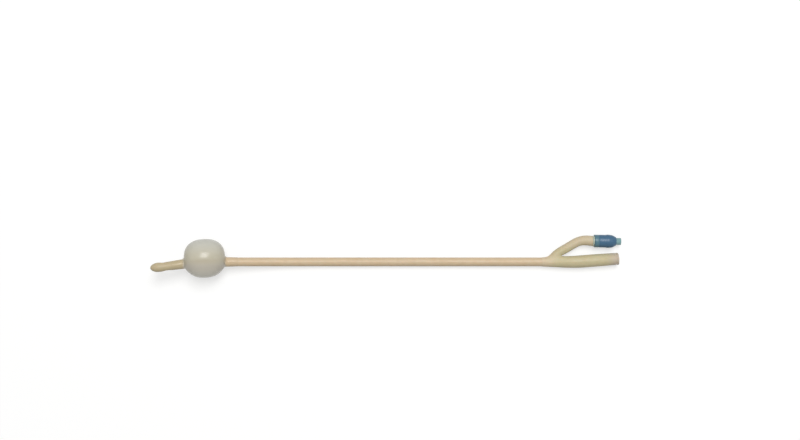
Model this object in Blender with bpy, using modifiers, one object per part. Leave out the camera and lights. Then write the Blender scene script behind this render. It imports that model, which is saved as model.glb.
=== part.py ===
"""A two-way Foley urinary catheter of coated latex, laid out on a flat surface with its balloon filled.

The shaft runs along X with its tip at -X, the inflation arm and its valve are on the +Y side, Z is up
and the surface is at Z = 0. The shaft and the balloon are modelled straight, as they are made, and are
then laid along the line that the catheter takes: flat on the surface in the middle, lifted by the
balloon at one end and by the thicker branch moulding at the other.
"""

import math

import bmesh
import bpy
import numpy as np
from mathutils import Matrix, Vector

MM = 0.001
WELD = 0.0005 * MM  # points closer than this are one point
AXIS_WELD = 0.001 * MM  # where a spun profile meets its axis
BORE_SIDES = 16
FINE_BORE_SIDES = 8
RING_SIDES = 20
HOUSING_SIDES = 24
SLEEVE_SIDES = 28

# Sizes of the shaft, 24 French
SHAFT_R = 4.0 * MM
SHAFT_REACH = 354.2 * MM  # from the branch moulding to the tip, along the shaft
SHAFT_INSERT = 14.0 * MM  # the length held inside the branch moulding
SHAFT_SIDES = 20
TIP_R = 4.25 * MM
TIP_DOME = 7.5 * MM
TIP_RINGS = 6
TIP_WIDE_END = 9.0 * MM
TIP_TAPER_END = 12.0 * MM
DRAIN_R = 2.5 * MM
DRAIN_OFFSET = -0.55 * MM
DRAIN_START = 6.0 * MM  # solid rubber between the tip and the drainage lumen
INFLATION_R = 0.45 * MM
INFLATION_OFFSET = 2.75 * MM
INFLATION_TIP_SIDE = 2.0 * MM  # how far the lumen runs on beyond the balloon's port
INFLATION_DRAIN_SIDE = 1.2 * MM  # and beyond the port in the branch moulding
PORT_R = 0.6 * MM
SKIVE_X = 8.7 * MM  # where the inflation lumen opens inside the branch moulding
DRILL_OUTSIDE = SHAFT_R + 2.0 * MM  # where a drill into the shaft's side starts
CUT_OVERRUN = 1.0 * MM  # how far a cutter passes the face that it opens

# Two drainage eyes, staggered on the two sides of the tip
EYE_LENGTH = 6.6 * MM
EYE_HEIGHT = 3.2 * MM
EYE_LEFT = 10.9 * MM
EYE_RIGHT = 14.7 * MM

# Balloon, about 22 ml, filled more to one side
BALLOON_PLACE = 48.1 * MM  # from the tip to the middle of the balloon
BALLOON_HALF = 18.6 * MM
BALLOON_R = 17.5 * MM
BALLOON_FULLNESS = 2.3  # 2 is an ellipse, more is squarer
BALLOON_LEAN = 3.8 * MM  # how far the filled balloon stands off the shaft's line
BALLOON_WALL = 0.35 * MM
BALLOON_SIDES = 28
BALLOON_RINGS = 18
BALLOON_POLE = 8.0  # degrees of the profile left off at each end, inside the cuffs
CUFF_R = 4.35 * MM
CUFF_TIP_SIDE = 10.0 * MM
CUFF_DRAIN_SIDE = 10.0 * MM
CUFF_STEP = 0.4 * MM
SEAT_R = 3.65 * MM  # the shaft under the balloon, so that the cuffs lie nearly flush
SEAT_STEP = 0.5 * MM

# How the catheter lies
AXIS_Y = -5.53 * MM
NECK_X = 140.35 * MM  # where the shaft enters the branch moulding
BALLOON_X = -164.55 * MM
BALLOON_AXIS_Z = 16.8 * MM
BALLOON_LIFT_LENGTH = 130.0 * MM
TIP_DROOP = 0.9 * MM
FUNNEL_SLOPE = 0.0248  # the moulding rests on its widest ring, so it rises to the mouth
NECK_Z = 4.77 * MM
RUN_START = -230.0 * MM
SIDE_BEND = [  # x and sideways place of the shaft, seen from above
    (RUN_START, -5.3 * MM),
    (-212.0 * MM, -4.6 * MM),
    (-200.0 * MM, -3.5 * MM),
    (-183.0 * MM, -1.3 * MM),
    (-165.0 * MM, -0.1 * MM),
    (-147.0 * MM, 0.3 * MM),
    (-120.0 * MM, 0.15 * MM),
    (-80.0 * MM, 0.0),
    (200.0 * MM, 0.0),
]
RUN_END = NECK_X + 30.0 * MM
RUN_STEPS = 4000
NEAR_BALLOON_BENDS = 12  # the shaft bends at this many places, this far apart
NEAR_BALLOON_STEP = 6.0 * MM
TOUCH_DOWN_BENDS = 11
TOUCH_DOWN_STEP = 9.5 * MM
NEAR_NECK_BENDS = 5
NEAR_NECK_STEP = 16.0 * MM
TIP_PLACE = NECK_X - SHAFT_REACH  # places along the shaft, which equal x at the neck
BALLOON_MIDDLE = TIP_PLACE + BALLOON_PLACE
GAP = 0.3 * MM  # the solids of two pieces that touch stand this far apart
SEAT_START = BALLOON_MIDDLE - BALLOON_HALF - CUFF_TIP_SIDE - GAP
SEAT_END = BALLOON_MIDDLE + BALLOON_HALF + CUFF_DRAIN_SIDE + GAP

# Branch moulding, measured from its neck; a ring is x, y, heading in degrees and radius,
# and a ring of the arm has its height from the middle after its radius
FUNNEL_RINGS = [
    (0.0, 0.0, 0.0, 4.5 * MM),
    (3.8 * MM, 0.0, 0.0, 4.5 * MM),
    (11.0 * MM, 0.0, 0.0, 4.7 * MM),
    (20.0 * MM, 0.0, 0.0, 5.25 * MM),
    (25.5 * MM, 0.0, 0.0, 5.4 * MM),
    (32.0 * MM, 0.1 * MM, 2.0, 5.55 * MM),
    (41.0 * MM, 0.85 * MM, 4.2, 5.75 * MM),
    (55.0 * MM, 1.9 * MM, 4.2, 5.6 * MM),
    (69.2 * MM, 2.93 * MM, 4.2, 5.45 * MM),
]
FIRST_BRANCH_RING = 1  # the arm grows from the two spans that follow this ring
MOULDING_SMOOTHING = 2
ARM_RINGS = [
    (13.4 * MM, 7.7 * MM, 72.0, 4.5 * MM, 4.3 * MM),
    (18.0 * MM, 10.2 * MM, 34.0, 4.05 * MM, 4.1 * MM),
    (22.3 * MM, 12.6 * MM, 30.0, 4.05 * MM, 4.05 * MM),
    (26.7 * MM, 15.25 * MM, 30.0, 4.1 * MM, 4.1 * MM),
    (31.2 * MM, 17.95 * MM, 24.0, 4.15 * MM, 4.15 * MM),
    (35.5 * MM, 19.45 * MM, 10.0, 4.3 * MM, 4.3 * MM),
    (40.5 * MM, 19.75 * MM, -2.0, 4.55 * MM, 4.55 * MM),
    (45.7 * MM, 19.1 * MM, -1.15, 4.65 * MM, 4.65 * MM),
]
SOCKET_R = 4.25 * MM
DRAIN_BORE = [  # x, y and radius of the funnel's inside
    (12.0 * MM, 0.0, 2.6 * MM),
    (18.0 * MM, 0.0, 3.0 * MM),
    (32.0 * MM, 0.1 * MM, 3.5 * MM),
    (41.0 * MM, 0.85 * MM, 3.65 * MM),
    (55.0 * MM, 1.9 * MM, 3.88 * MM),
    (71.0 * MM, 3.06 * MM, 4.15 * MM),
]
ARM_BORE_R = 0.9 * MM
ARM_BORE = [
    (7.4 * MM, 2.9 * MM),
    (11.6 * MM, 6.3 * MM),
    (16.3 * MM, 9.3 * MM),
    (21.0 * MM, 11.9 * MM),
    (26.0 * MM, 14.85 * MM),
    (31.0 * MM, 17.75 * MM),
    (35.5 * MM, 19.2 * MM),
    (38.0 * MM, 19.25 * MM),
]
ARM_LEVEL_START = 12.0 * MM
ARM_LEVEL_END = 38.0 * MM
TAIL_BORE_R = 2.9 * MM
TAIL_BORE_DEPTH = 10.5 * MM
TAIL_BORE_POINT = 1.5 * MM

# Inflation valve, measured outwards from the end of the arm
VALVE_X = 45.7 * MM
VALVE_Y = 19.1 * MM
VALVE_Z = 6.07 * MM
VALVE_HEADING = -1.15
TAIL_BARBS = 3
BARB_PITCH = 2.7 * MM
BARB_LENGTH = 1.9 * MM
BARB_R = 2.6 * MM
BARB_BACK = 0.05 * MM  # the barb's steep side
FIRST_BARB = 0.2 * MM
TAIL_CHAMFER = 0.3 * MM
TAIL_R = 2.1 * MM
TAIL_BORE = 1.0 * MM
TAIL_LENGTH = 9.5 * MM
COLLAR_R = 4.9 * MM
COLLAR_START = 0.3 * MM
COLLAR_END = 1.4 * MM
PLUG_R = 2.8 * MM
PLUG_END = 5.0 * MM
CHAMBER_R = 3.1 * MM
HOUSING_START = 1.7 * MM
HOUSING_R = 4.2 * MM
SHOULDER_START = 16.2 * MM
CHAMBER_END = 16.4 * MM
SEAT_CONE_START = 16.7 * MM
SEAT_CONE_END = 17.7 * MM
SHOULDER_END = 18.6 * MM
NOZZLE_R = 3.2 * MM
NOZZLE_EDGE = 0.4 * MM
NOZZLE_END = 25.8 * MM
LUER_MOUTH_R = 2.15 * MM
LUER_DEPTH = 7.2 * MM
LUER_TAPER = 0.03  # radius lost in each unit of depth, the 6 per cent taper
THROAT_R = 1.2 * MM
THROAT_CONE = 0.5 * MM
SLEEVE_R = 5.75 * MM
SLEEVE_RING_R = 6.05 * MM
SLEEVE_BORE_R = 4.5 * MM
SLEEVE_RING_START = 11.8 * MM
SLEEVE_RING_END = 16.6 * MM
SLEEVE_SHOULDER = 17.4 * MM
SLEEVE_END = 21.4 * MM
SLEEVE_LIP_R = 3.8 * MM
SLEEVE_EDGE = 0.4 * MM
SLEEVE_CURVE_STEPS = 4
SHOULDER_CURVE = 1.3  # 1 is a cone, more is rounder
STEM_R = 0.65 * MM
STEM_TIP = 21.5 * MM
STEM_CHAMFER = 0.3 * MM
FLANGE_R = 2.6 * MM
FLANGE_START = 14.2 * MM
FLANGE_END = 15.0 * MM
FIN_REACH = 1.6 * MM
FIN_THICK = 0.7 * MM
FIN_START = 7.2 * MM
FIN_OVERLAP = 0.2 * MM  # how far the fins run into the flange
SEAL_R = 2.3 * MM
SEAL_BORE_R = 0.95 * MM
SEAL_FRONT_R = 1.15 * MM
SEAL_BAND = 0.7 * MM
SEAL_EDGE = 0.05 * MM
SEAL_ROUND = 1.05 * MM
SEAL_THICK = 1.95 * MM
SPRING_R = 2.3 * MM
SPRING_WIRE_R = 0.2 * MM
SPRING_START = 5.55 * MM
SPRING_END = 13.65 * MM
SPRING_TURNS = 7
SPRING_POINTS_PER_TURN = 10
SPRING_CLOSE = 0.045  # share of the length by which the end turns are drawn together
CORNERS = 8  # corners of a cage ring


def clear_scene():
    for obj in list(bpy.data.objects):
        bpy.data.objects.remove(obj)


def new_collection(name):
    collection = bpy.data.collections.new(name)
    bpy.context.scene.collection.children.link(collection)
    return collection


def linear(channel):
    """Turn one sRGB channel into the linear value a shader takes."""
    if channel <= 0.04045:
        return channel / 12.92
    return ((channel + 0.055) / 1.055) ** 2.4


def new_material(name, colour, roughness, metallic=0.0):
    material = bpy.data.materials.new(name)
    material.use_nodes = True
    shader = material.node_tree.nodes["Principled BSDF"]
    rgb = [linear(int(colour[i : i + 2], 16) / 255) for i in (0, 2, 4)]
    shader.inputs["Base Color"].default_value = (*rgb, 1.0)
    shader.inputs["Roughness"].default_value = roughness
    shader.inputs["Metallic"].default_value = metallic
    return material


def new_object(name, mesh, collection):
    obj = bpy.data.objects.new(name, mesh)
    collection.objects.link(obj)
    return obj


def settle(obj):
    """Replace an object's mesh with what its modifiers make of it."""
    depsgraph = bpy.context.evaluated_depsgraph_get()
    made = bpy.data.meshes.new_from_object(obj.evaluated_get(depsgraph))
    old = obj.data
    obj.modifiers.clear()
    obj.data = made
    bpy.data.meshes.remove(old)
    return obj


def tidy_mesh(mesh):
    """Weld coincident points, close open rims with flat faces and turn every face outwards."""
    bm = bmesh.new()
    bm.from_mesh(mesh)
    bmesh.ops.remove_doubles(bm, verts=bm.verts, dist=WELD)
    rims = [edge for edge in bm.edges if edge.is_boundary]
    if rims:
        bmesh.ops.holes_fill(bm, edges=rims, sides=0)
    bmesh.ops.recalc_face_normals(bm, faces=bm.faces)
    bm.to_mesh(mesh)
    bm.free()


def spun(name, profile, sides, collection, closed=False):
    """Spin a profile of (place along the axis, radius) points about Z into an open surface."""
    mesh = bpy.data.meshes.new(name)
    edges = [(i, i + 1) for i in range(len(profile) - 1)]
    if closed:
        edges.append((len(profile) - 1, 0))
    mesh.from_pydata([(r, 0.0, along) for along, r in profile], edges, [])
    obj = new_object(name, mesh, collection)
    screw = obj.modifiers.new("turn", "SCREW")
    screw.axis = "Z"
    screw.steps = sides
    screw.render_steps = sides
    screw.use_merge_vertices = True
    screw.merge_threshold = AXIS_WELD
    return settle(obj)


def turned(name, profile, sides, collection, closed=False):
    """Closed body of a spun profile.

    A closed profile is the section of a ring; an open one starts and ends on the axis.
    """
    obj = spun(name, profile, sides, collection, closed)
    tidy_mesh(obj.data)
    return obj


def tube(name, points, radii, resolution, collection):
    """Make a closed tube with round section along points, with a radius at each."""
    curve = bpy.data.curves.new(name, "CURVE")
    curve.dimensions = "3D"
    curve.bevel_depth = MM
    curve.bevel_resolution = resolution
    curve.use_fill_caps = True
    spline = curve.splines.new("POLY")
    spline.points.add(len(points) - 1)
    for knot, point, radius in zip(spline.points, points, radii):
        knot.co = (*point, 1.0)
        knot.radius = radius / MM
    route = new_object(name, curve, collection)
    depsgraph = bpy.context.evaluated_depsgraph_get()
    mesh = bpy.data.meshes.new_from_object(route.evaluated_get(depsgraph))
    bpy.data.objects.remove(route)
    obj = new_object(name, mesh, collection)
    tidy_mesh(obj.data)
    return obj


def boolean(obj, tools, operation="DIFFERENCE"):
    """Cut the tools out of an object, or join them to it."""
    for tool in tools:
        tool.hide_render = True
        tool.display_type = "WIRE"
        modifier = obj.modifiers.new(tool.name, "BOOLEAN")
        modifier.operation = operation
        modifier.solver = "EXACT"
        modifier.object = tool
    bpy.context.view_layer.update()
    return settle(obj)


def move_points(obj, place):
    """Send every point of an object's mesh through a function."""
    for vertex in obj.data.vertices:
        vertex.co = place(vertex.co)
    obj.data.update()


def finish(obj, material, angle=30.0):
    obj.data.materials.clear()
    obj.data.materials.append(material)
    obj.data.shade_smooth()
    obj.data.set_sharp_from_angle(angle=math.radians(angle))


def to_x(point):
    """Turn a point of a shape made along Z so that the shape runs along X, its first line lowest."""
    return Vector((point.z, point.y, -point.x))


def smooth_value(points, x):
    """Value at x of the smooth curve through (x, value) points."""
    last = len(points) - 1
    x = min(max(x, points[0][0]), points[last][0])
    i = next(k for k in range(last) if x <= points[k + 1][0])

    def slope(k):
        before, after = points[max(k - 1, 0)], points[min(k + 1, last)]
        return (after[1] - before[1]) / (after[0] - before[0])

    width = points[i + 1][0] - points[i][0]
    t = (x - points[i][0]) / width
    start = (2 * t**3 - 3 * t**2 + 1) * points[i][1] + (t**3 - 2 * t**2 + t) * width * slope(i)
    end = (3 * t**2 - 2 * t**3) * points[i + 1][1] + (t**3 - t**2) * width * slope(i + 1)
    return start + end


def lifted(share):
    """Share of the full lift of a heavy strip raised at one end, at a share of the lifted length."""
    return 2 * share**3 - share**4


def shaft_height(x):
    """Height of the shaft's axis: lifted by the balloon at one end and the moulding at the other."""
    balloon_lift = BALLOON_AXIS_Z - SHAFT_R
    touch_down = BALLOON_X + BALLOON_LIFT_LENGTH
    neck_lift = NECK_Z - SHAFT_R
    neck_length = 2 * neck_lift / FUNNEL_SLOPE
    if x < BALLOON_X:
        beyond = BALLOON_X - x
        rise = 2 * balloon_lift / BALLOON_LIFT_LENGTH
        droop = TIP_DROOP * (beyond / BALLOON_PLACE) ** 2
        return BALLOON_AXIS_Z + rise * beyond - droop
    if x < touch_down:
        return SHAFT_R + balloon_lift * lifted((touch_down - x) / BALLOON_LIFT_LENGTH)
    if x > NECK_X:
        return NECK_Z + FUNNEL_SLOPE * (x - NECK_X)
    if x > NECK_X - neck_length:
        return SHAFT_R + neck_lift * lifted((x - NECK_X + neck_length) / neck_length)
    return SHAFT_R


def shaft_point(x):
    return Vector((x, AXIS_Y + smooth_value(SIDE_BEND, x), shaft_height(x)))


def make_run():
    """Table of x against length along the shaft, which equals x where the shaft meets the moulding."""
    xs = np.linspace(RUN_END, RUN_START, RUN_STEPS + 1)
    points = np.array([shaft_point(x) for x in xs])
    steps = np.linalg.norm(np.diff(points, axis=0), axis=1)
    along = xs[0] - np.concatenate([[0.0], np.cumsum(steps)])
    along += NECK_X - np.interp(-NECK_X, -xs, along)
    return xs[::-1], along[::-1]


RUN_X, RUN_ALONG = make_run()


def shaft_frame(along):
    """Place and directions of the laid shaft: forwards, to its left and up."""
    x = float(np.interp(along, RUN_ALONG, RUN_X))
    step = 0.5 * MM
    forward = (shaft_point(x + step) - shaft_point(x - step)).normalized()
    left = Vector((0.0, 0.0, 1.0)).cross(forward).normalized()
    up = forward.cross(left)
    frame = Matrix((forward, left, up)).transposed().to_4x4()
    frame.translation = shaft_point(x)
    return frame


def lay_down(obj):
    """Bend a straight shape onto the line that the shaft takes."""
    move_points(obj, lambda p: shaft_frame(p.x) @ Vector((0.0, p.y, p.z)))


def slice_along(obj, places):
    """Add a ring of edges across a straight shape at each place, so that it can bend there."""
    bm = bmesh.new()
    bm.from_mesh(obj.data)
    for place in places:
        geometry = [*bm.verts, *bm.edges, *bm.faces]
        bmesh.ops.bisect_plane(
            bm, geom=geometry, dist=WELD / 5, plane_co=(place, 0, 0), plane_no=(1, 0, 0)
        )
    bm.to_mesh(obj.data)
    bm.free()


def shaft_profile():
    """Outside of the shaft from the round tip to the end inside the moulding."""
    dome = []
    for k in range(TIP_RINGS + 1):
        angle = math.radians(90) * k / TIP_RINGS
        dome.append((TIP_PLACE + TIP_DOME * (1 - math.cos(angle)), TIP_R * math.sin(angle)))
    return [
        *dome,
        (TIP_PLACE + TIP_WIDE_END, TIP_R),
        (TIP_PLACE + TIP_TAPER_END, SHAFT_R),
        (SEAT_START - SEAT_STEP, SHAFT_R),
        (SEAT_START, SEAT_R),
        (SEAT_END, SEAT_R),
        (SEAT_END + SEAT_STEP, SHAFT_R),
        (NECK_X + SHAFT_INSERT, SHAFT_R),
        (NECK_X + SHAFT_INSERT, 0.0),
    ]


def bend_places():
    """Places along the shaft where it can bend: close together near the balloon, wider beyond."""
    first = TIP_PLACE + TIP_TAPER_END
    near_balloon = [first + k * NEAR_BALLOON_STEP for k in range(NEAR_BALLOON_BENDS)]
    last = near_balloon[-1]
    touching_down = [last + (k + 1) * TOUCH_DOWN_STEP for k in range(TOUCH_DOWN_BENDS)]
    near_neck = [NECK_X - k * NEAR_NECK_STEP for k in range(NEAR_NECK_BENDS)]
    return near_balloon + touching_down + near_neck


def side_drill(name, place, radius, start, end, collection, stretch=1.0):
    """Round or oval drill that goes into the side of the straight shaft, from start to end along Y."""
    outline = [(start, 0), (start, radius), (end, radius), (end, 0)]
    drill = turned(name, outline, BORE_SIDES, collection)
    move_points(drill, lambda p: Vector((place + stretch * p.x, p.z, p.y)))
    tidy_mesh(drill.data)
    return drill


def make_shaft(parts, cutters):
    """Double-lumen tube with a closed tip, two eyes, the port under the balloon and its seat."""
    start = TIP_PLACE + DRAIN_START
    end = NECK_X + SHAFT_INSERT
    shaft = turned("shaft", shaft_profile(), SHAFT_SIDES, parts)
    drain = turned(
        "drainage_lumen",
        [
            (start, 0),
            (start, 0.5 * DRAIN_R),
            (start + 0.5 * DRAIN_R, DRAIN_R),
            (end + CUT_OVERRUN, DRAIN_R),
            (end + CUT_OVERRUN, 0),
        ],
        BORE_SIDES,
        cutters,
    )
    start_inflation = BALLOON_MIDDLE - INFLATION_TIP_SIDE
    end_inflation = NECK_X + SKIVE_X + INFLATION_DRAIN_SIDE
    inflation = turned(
        "inflation_lumen",
        [
            (start_inflation, 0),
            (start_inflation, INFLATION_R),
            (end_inflation, INFLATION_R),
            (end_inflation, 0),
        ],
        FINE_BORE_SIDES,
        cutters,
    )
    for obj in (shaft, drain, inflation):
        move_points(obj, to_x)
    move_points(drain, lambda p: p + Vector((0, DRAIN_OFFSET, 0)))
    move_points(inflation, lambda p: p + Vector((0, INFLATION_OFFSET, 0)))
    port = side_drill(
        "balloon_port", BALLOON_MIDDLE, PORT_R, INFLATION_OFFSET, DRILL_OUTSIDE, cutters
    )
    skive = side_drill(
        "skived_port", NECK_X + SKIVE_X, ARM_BORE_R, INFLATION_OFFSET, DRILL_OUTSIDE, cutters
    )
    stretch = EYE_LENGTH / EYE_HEIGHT
    eye_r = EYE_HEIGHT / 2
    left_eye = side_drill(
        "left_eye", TIP_PLACE + EYE_LEFT, eye_r, DRAIN_R / 4, DRILL_OUTSIDE, cutters, stretch
    )
    right_eye = side_drill(
        "right_eye", TIP_PLACE + EYE_RIGHT, eye_r, -DRILL_OUTSIDE, -DRAIN_R / 2, cutters, stretch
    )
    boolean(shaft, [drain, inflation, port, skive, left_eye, right_eye])
    slice_along(shaft, bend_places())
    lay_down(shaft)
    tidy_mesh(shaft.data)
    return shaft


def balloon_profile():
    """Outside of the filled balloon with a cuff at each end, as (place, radius)."""
    power = 2 / BALLOON_FULLNESS
    turn = 180 - 2 * BALLOON_POLE
    bulge = []
    for k in range(BALLOON_RINGS + 1):
        angle = math.radians(BALLOON_POLE + turn * k / BALLOON_RINGS)
        across = -math.copysign(abs(math.cos(angle)) ** power, math.cos(angle))
        radius = BALLOON_R * math.sin(angle) ** power
        if radius > CUFF_R + CUFF_STEP:
            bulge.append((BALLOON_MIDDLE + BALLOON_HALF * across, radius))
    return [
        (BALLOON_MIDDLE - BALLOON_HALF - CUFF_TIP_SIDE, CUFF_R),
        (BALLOON_MIDDLE - BALLOON_HALF - CUFF_STEP, CUFF_R),
        *bulge,
        (BALLOON_MIDDLE + BALLOON_HALF + CUFF_STEP, CUFF_R),
        (BALLOON_MIDDLE + BALLOON_HALF + CUFF_DRAIN_SIDE, CUFF_R),
    ]


def make_balloon(parts):
    """Thin latex skin with open cuffs, leaning to one side and flat where it rests."""
    balloon = spun("balloon", balloon_profile(), BALLOON_SIDES, parts)
    move_points(balloon, to_x)

    def lean(p):
        bulge = max(math.hypot(p.y, p.z) - CUFF_R, 0)
        return p + Vector((0, BALLOON_LEAN * math.tanh(bulge / BALLOON_LEAN), 0))

    move_points(balloon, lean)
    lay_down(balloon)
    move_points(balloon, lambda p: Vector((p.x, p.y, max(p.z, 0))))
    bm = bmesh.new()
    bm.from_mesh(balloon.data)
    bmesh.ops.recalc_face_normals(bm, faces=bm.faces)
    middle = shaft_frame(BALLOON_MIDDLE).translation
    highest = max(bm.faces, key=lambda face: face.calc_center_median().z)
    if highest.normal.dot(highest.calc_center_median() - middle) < 0:
        bmesh.ops.reverse_faces(bm, faces=bm.faces)
    bm.to_mesh(balloon.data)
    bm.free()
    wall = balloon.modifiers.new("wall", "SOLIDIFY")
    wall.thickness = BALLOON_WALL
    wall.offset = -1
    return balloon


def moulding_height(x):
    """Height of the funnel's axis at a distance from the neck."""
    return NECK_Z + FUNNEL_SLOPE * x


def arm_height(x):
    """Height of the arm's axis, which levels out to lay the valve on the surface."""
    share = min(max((x - ARM_LEVEL_START) / (ARM_LEVEL_END - ARM_LEVEL_START), 0), 1)
    share = share * share * (3 - 2 * share)
    return (1 - share) * moulding_height(x) + share * VALVE_Z


def moulding_point(x, y, height):
    return Vector((NECK_X + x, AXIS_Y + y, height))


def cage_ring(x, y, heading, radius, upright, height):
    """Eight corners round a point, from the left over the top, that smooth to the given radii."""
    swell = 6 / (4 + 2 * math.cos(math.tau / CORNERS))
    angle = math.radians(heading)
    left = swell * radius * Vector((-math.sin(angle), math.cos(angle), 0))
    up = swell * upright * Vector((0, 0, 1))
    centre = moulding_point(x, y, height)
    turns = [math.tau * k / CORNERS for k in range(CORNERS)]
    return [centre + math.cos(turn) * left + math.sin(turn) * up for turn in turns]


def make_branch_cage(name, collection):
    """Coarse cage of the funnel with an arm growing out of its left side, open at its three ends."""
    bm = bmesh.new()
    funnel = []
    for x, y, heading, radius in FUNNEL_RINGS:
        ring = cage_ring(x, y, heading, radius, radius, moulding_height(x))
        funnel.append([bm.verts.new(corner) for corner in ring])
    arm = []
    for x, y, heading, radius, upright in ARM_RINGS:
        ring = cage_ring(x, y, heading, radius, upright, arm_height(x))
        arm.append([bm.verts.new(corner) for corner in ring])
    first = FIRST_BRANCH_RING
    for i in range(len(funnel) - 1):
        for k in range(CORNERS):
            if i in (first, first + 1) and k in (0, CORNERS - 1):
                continue
            near, far = funnel[i], funnel[i + 1]
            after = (k + 1) % CORNERS
            bm.faces.new((near[k], far[k], far[after], near[after]))
    a, b, c = funnel[first], funnel[first + 1], funnel[first + 2]
    root = [a[0], a[1], b[1], c[1], c[0], c[7], b[7], a[7]]
    for near, far in zip([root, *arm[:-1]], arm):
        for k in range(CORNERS):
            after = (k + 1) % CORNERS
            bm.faces.new((near[k], far[k], far[after], near[after]))
    bm.verts.remove(b[0])
    bmesh.ops.recalc_face_normals(bm, faces=bm.faces)
    mesh = bpy.data.meshes.new(name)
    bm.to_mesh(mesh)
    bm.free()
    return new_object(name, mesh, collection)


def valve_frame():
    """Frame whose Z runs outwards along the valve and whose X points down."""
    angle = math.radians(VALVE_HEADING)
    down = Vector((0, 0, -1))
    outwards = Vector((math.cos(angle), math.sin(angle), 0))
    frame = Matrix((down, outwards.cross(down), outwards)).transposed().to_4x4()
    frame.translation = moulding_point(VALVE_X, VALVE_Y, VALVE_Z)
    return frame


def make_bifurcation(parts, cutters):
    """Drainage funnel and inflation arm moulded as one, with their passages."""
    moulding = make_branch_cage("bifurcation", parts)
    rounding = moulding.modifiers.new("rounding", "SUBSURF")
    rounding.levels = MOULDING_SMOOTHING
    rounding.render_levels = MOULDING_SMOOTHING
    settle(moulding)
    tidy_mesh(moulding.data)
    socket = turned(
        "shaft_socket",
        [
            (-CUT_OVERRUN, 0),
            (-CUT_OVERRUN, SOCKET_R),
            (SHAFT_INSERT + GAP, SOCKET_R),
            (SHAFT_INSERT + GAP, 0),
        ],
        SHAFT_SIDES,
        cutters,
    )
    move_points(socket, lambda p: shaft_frame(NECK_X) @ to_x(p))
    bore_points = [moulding_point(x, y, moulding_height(x)) for x, y, r in DRAIN_BORE]
    drain = tube("drain_bore", bore_points, [r for x, y, r in DRAIN_BORE], 6, cutters)
    arm_points = [moulding_point(x, y, arm_height(x)) for x, y in ARM_BORE]
    passage = tube("arm_passage", arm_points, [ARM_BORE_R] * len(arm_points), 2, cutters)
    bore_end = -TAIL_BORE_DEPTH
    tail_bore = turned(
        "tail_bore",
        [
            (bore_end - TAIL_BORE_POINT, 0),
            (bore_end, TAIL_BORE_R),
            (CUT_OVERRUN, TAIL_BORE_R),
            (CUT_OVERRUN, 0),
        ],
        BORE_SIDES,
        cutters,
    )
    move_points(tail_bore, lambda p: valve_frame() @ p)
    boolean(moulding, [socket, drain, passage, tail_bore])
    tidy_mesh(moulding.data)
    return moulding


def make_valve_tail(parts):
    """Barbed plug that holds the valve in the arm, with the collar that shows."""
    section = [(-TAIL_LENGTH, TAIL_BORE), (-TAIL_LENGTH, TAIL_R - TAIL_CHAMFER)]
    for k in range(TAIL_BARBS):
        start = -TAIL_LENGTH + FIRST_BARB + k * BARB_PITCH
        section += [
            (start, TAIL_R),
            (start + BARB_LENGTH, BARB_R),
            (start + BARB_LENGTH + BARB_BACK, TAIL_R),
        ]
    section += [
        (COLLAR_START, TAIL_R),
        (COLLAR_START, COLLAR_R),
        (COLLAR_END, COLLAR_R),
        (COLLAR_END, PLUG_R),
        (PLUG_END, PLUG_R),
        (PLUG_END, TAIL_BORE),
    ]
    return turned("valve_tail", section, RING_SIDES, parts, closed=True)


def make_valve_housing(parts):
    """Valve body with the Luer port at its outer end, a conical seat and the spring's chamber."""
    luer_end = NOZZLE_END - LUER_DEPTH
    section = [
        (HOUSING_START, CHAMBER_R),
        (HOUSING_START, HOUSING_R),
        (SHOULDER_START, HOUSING_R),
        (SHOULDER_END, NOZZLE_R),
        (NOZZLE_END - NOZZLE_EDGE, NOZZLE_R),
        (NOZZLE_END, NOZZLE_R - NOZZLE_EDGE / 2),
        (NOZZLE_END, LUER_MOUTH_R),
        (luer_end, LUER_MOUTH_R - LUER_TAPER * LUER_DEPTH),
        (luer_end - THROAT_CONE, THROAT_R),
        (SEAT_CONE_END, THROAT_R),
        (SEAT_CONE_START, SEAL_R),
        (CHAMBER_END, CHAMBER_R),
    ]
    return turned("valve_housing", section, HOUSING_SIDES, parts, closed=True)


def make_colour_sleeve(parts):
    """Blue sleeve with a low ring and a shoulder that closes on the nozzle."""
    section = [
        (HOUSING_START, SLEEVE_BORE_R),
        (HOUSING_START, SLEEVE_R - SLEEVE_EDGE / 2),
        (HOUSING_START + SLEEVE_EDGE, SLEEVE_R),
    ]
    shares = [k / SLEEVE_CURVE_STEPS for k in range(SLEEVE_CURVE_STEPS + 1)]
    for share in shares:
        along = SLEEVE_RING_START + (SLEEVE_RING_END - SLEEVE_RING_START) * share
        swell = math.sin(math.pi * share)
        section.append((along, SLEEVE_R + (SLEEVE_RING_R - SLEEVE_R) * swell))
    for share in shares:
        along = SLEEVE_SHOULDER + (SLEEVE_END - SLEEVE_SHOULDER) * share
        fall = share**SHOULDER_CURVE
        section.append((along, SLEEVE_R + (SLEEVE_LIP_R - SLEEVE_R) * fall))
    section += [
        (SLEEVE_END, NOZZLE_R + GAP),
        (SHOULDER_END + GAP, NOZZLE_R + GAP),
        (SHOULDER_START + GAP / 2, SLEEVE_BORE_R),
    ]
    return turned("colour_sleeve", section, SLEEVE_SIDES, parts, closed=True)


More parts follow.
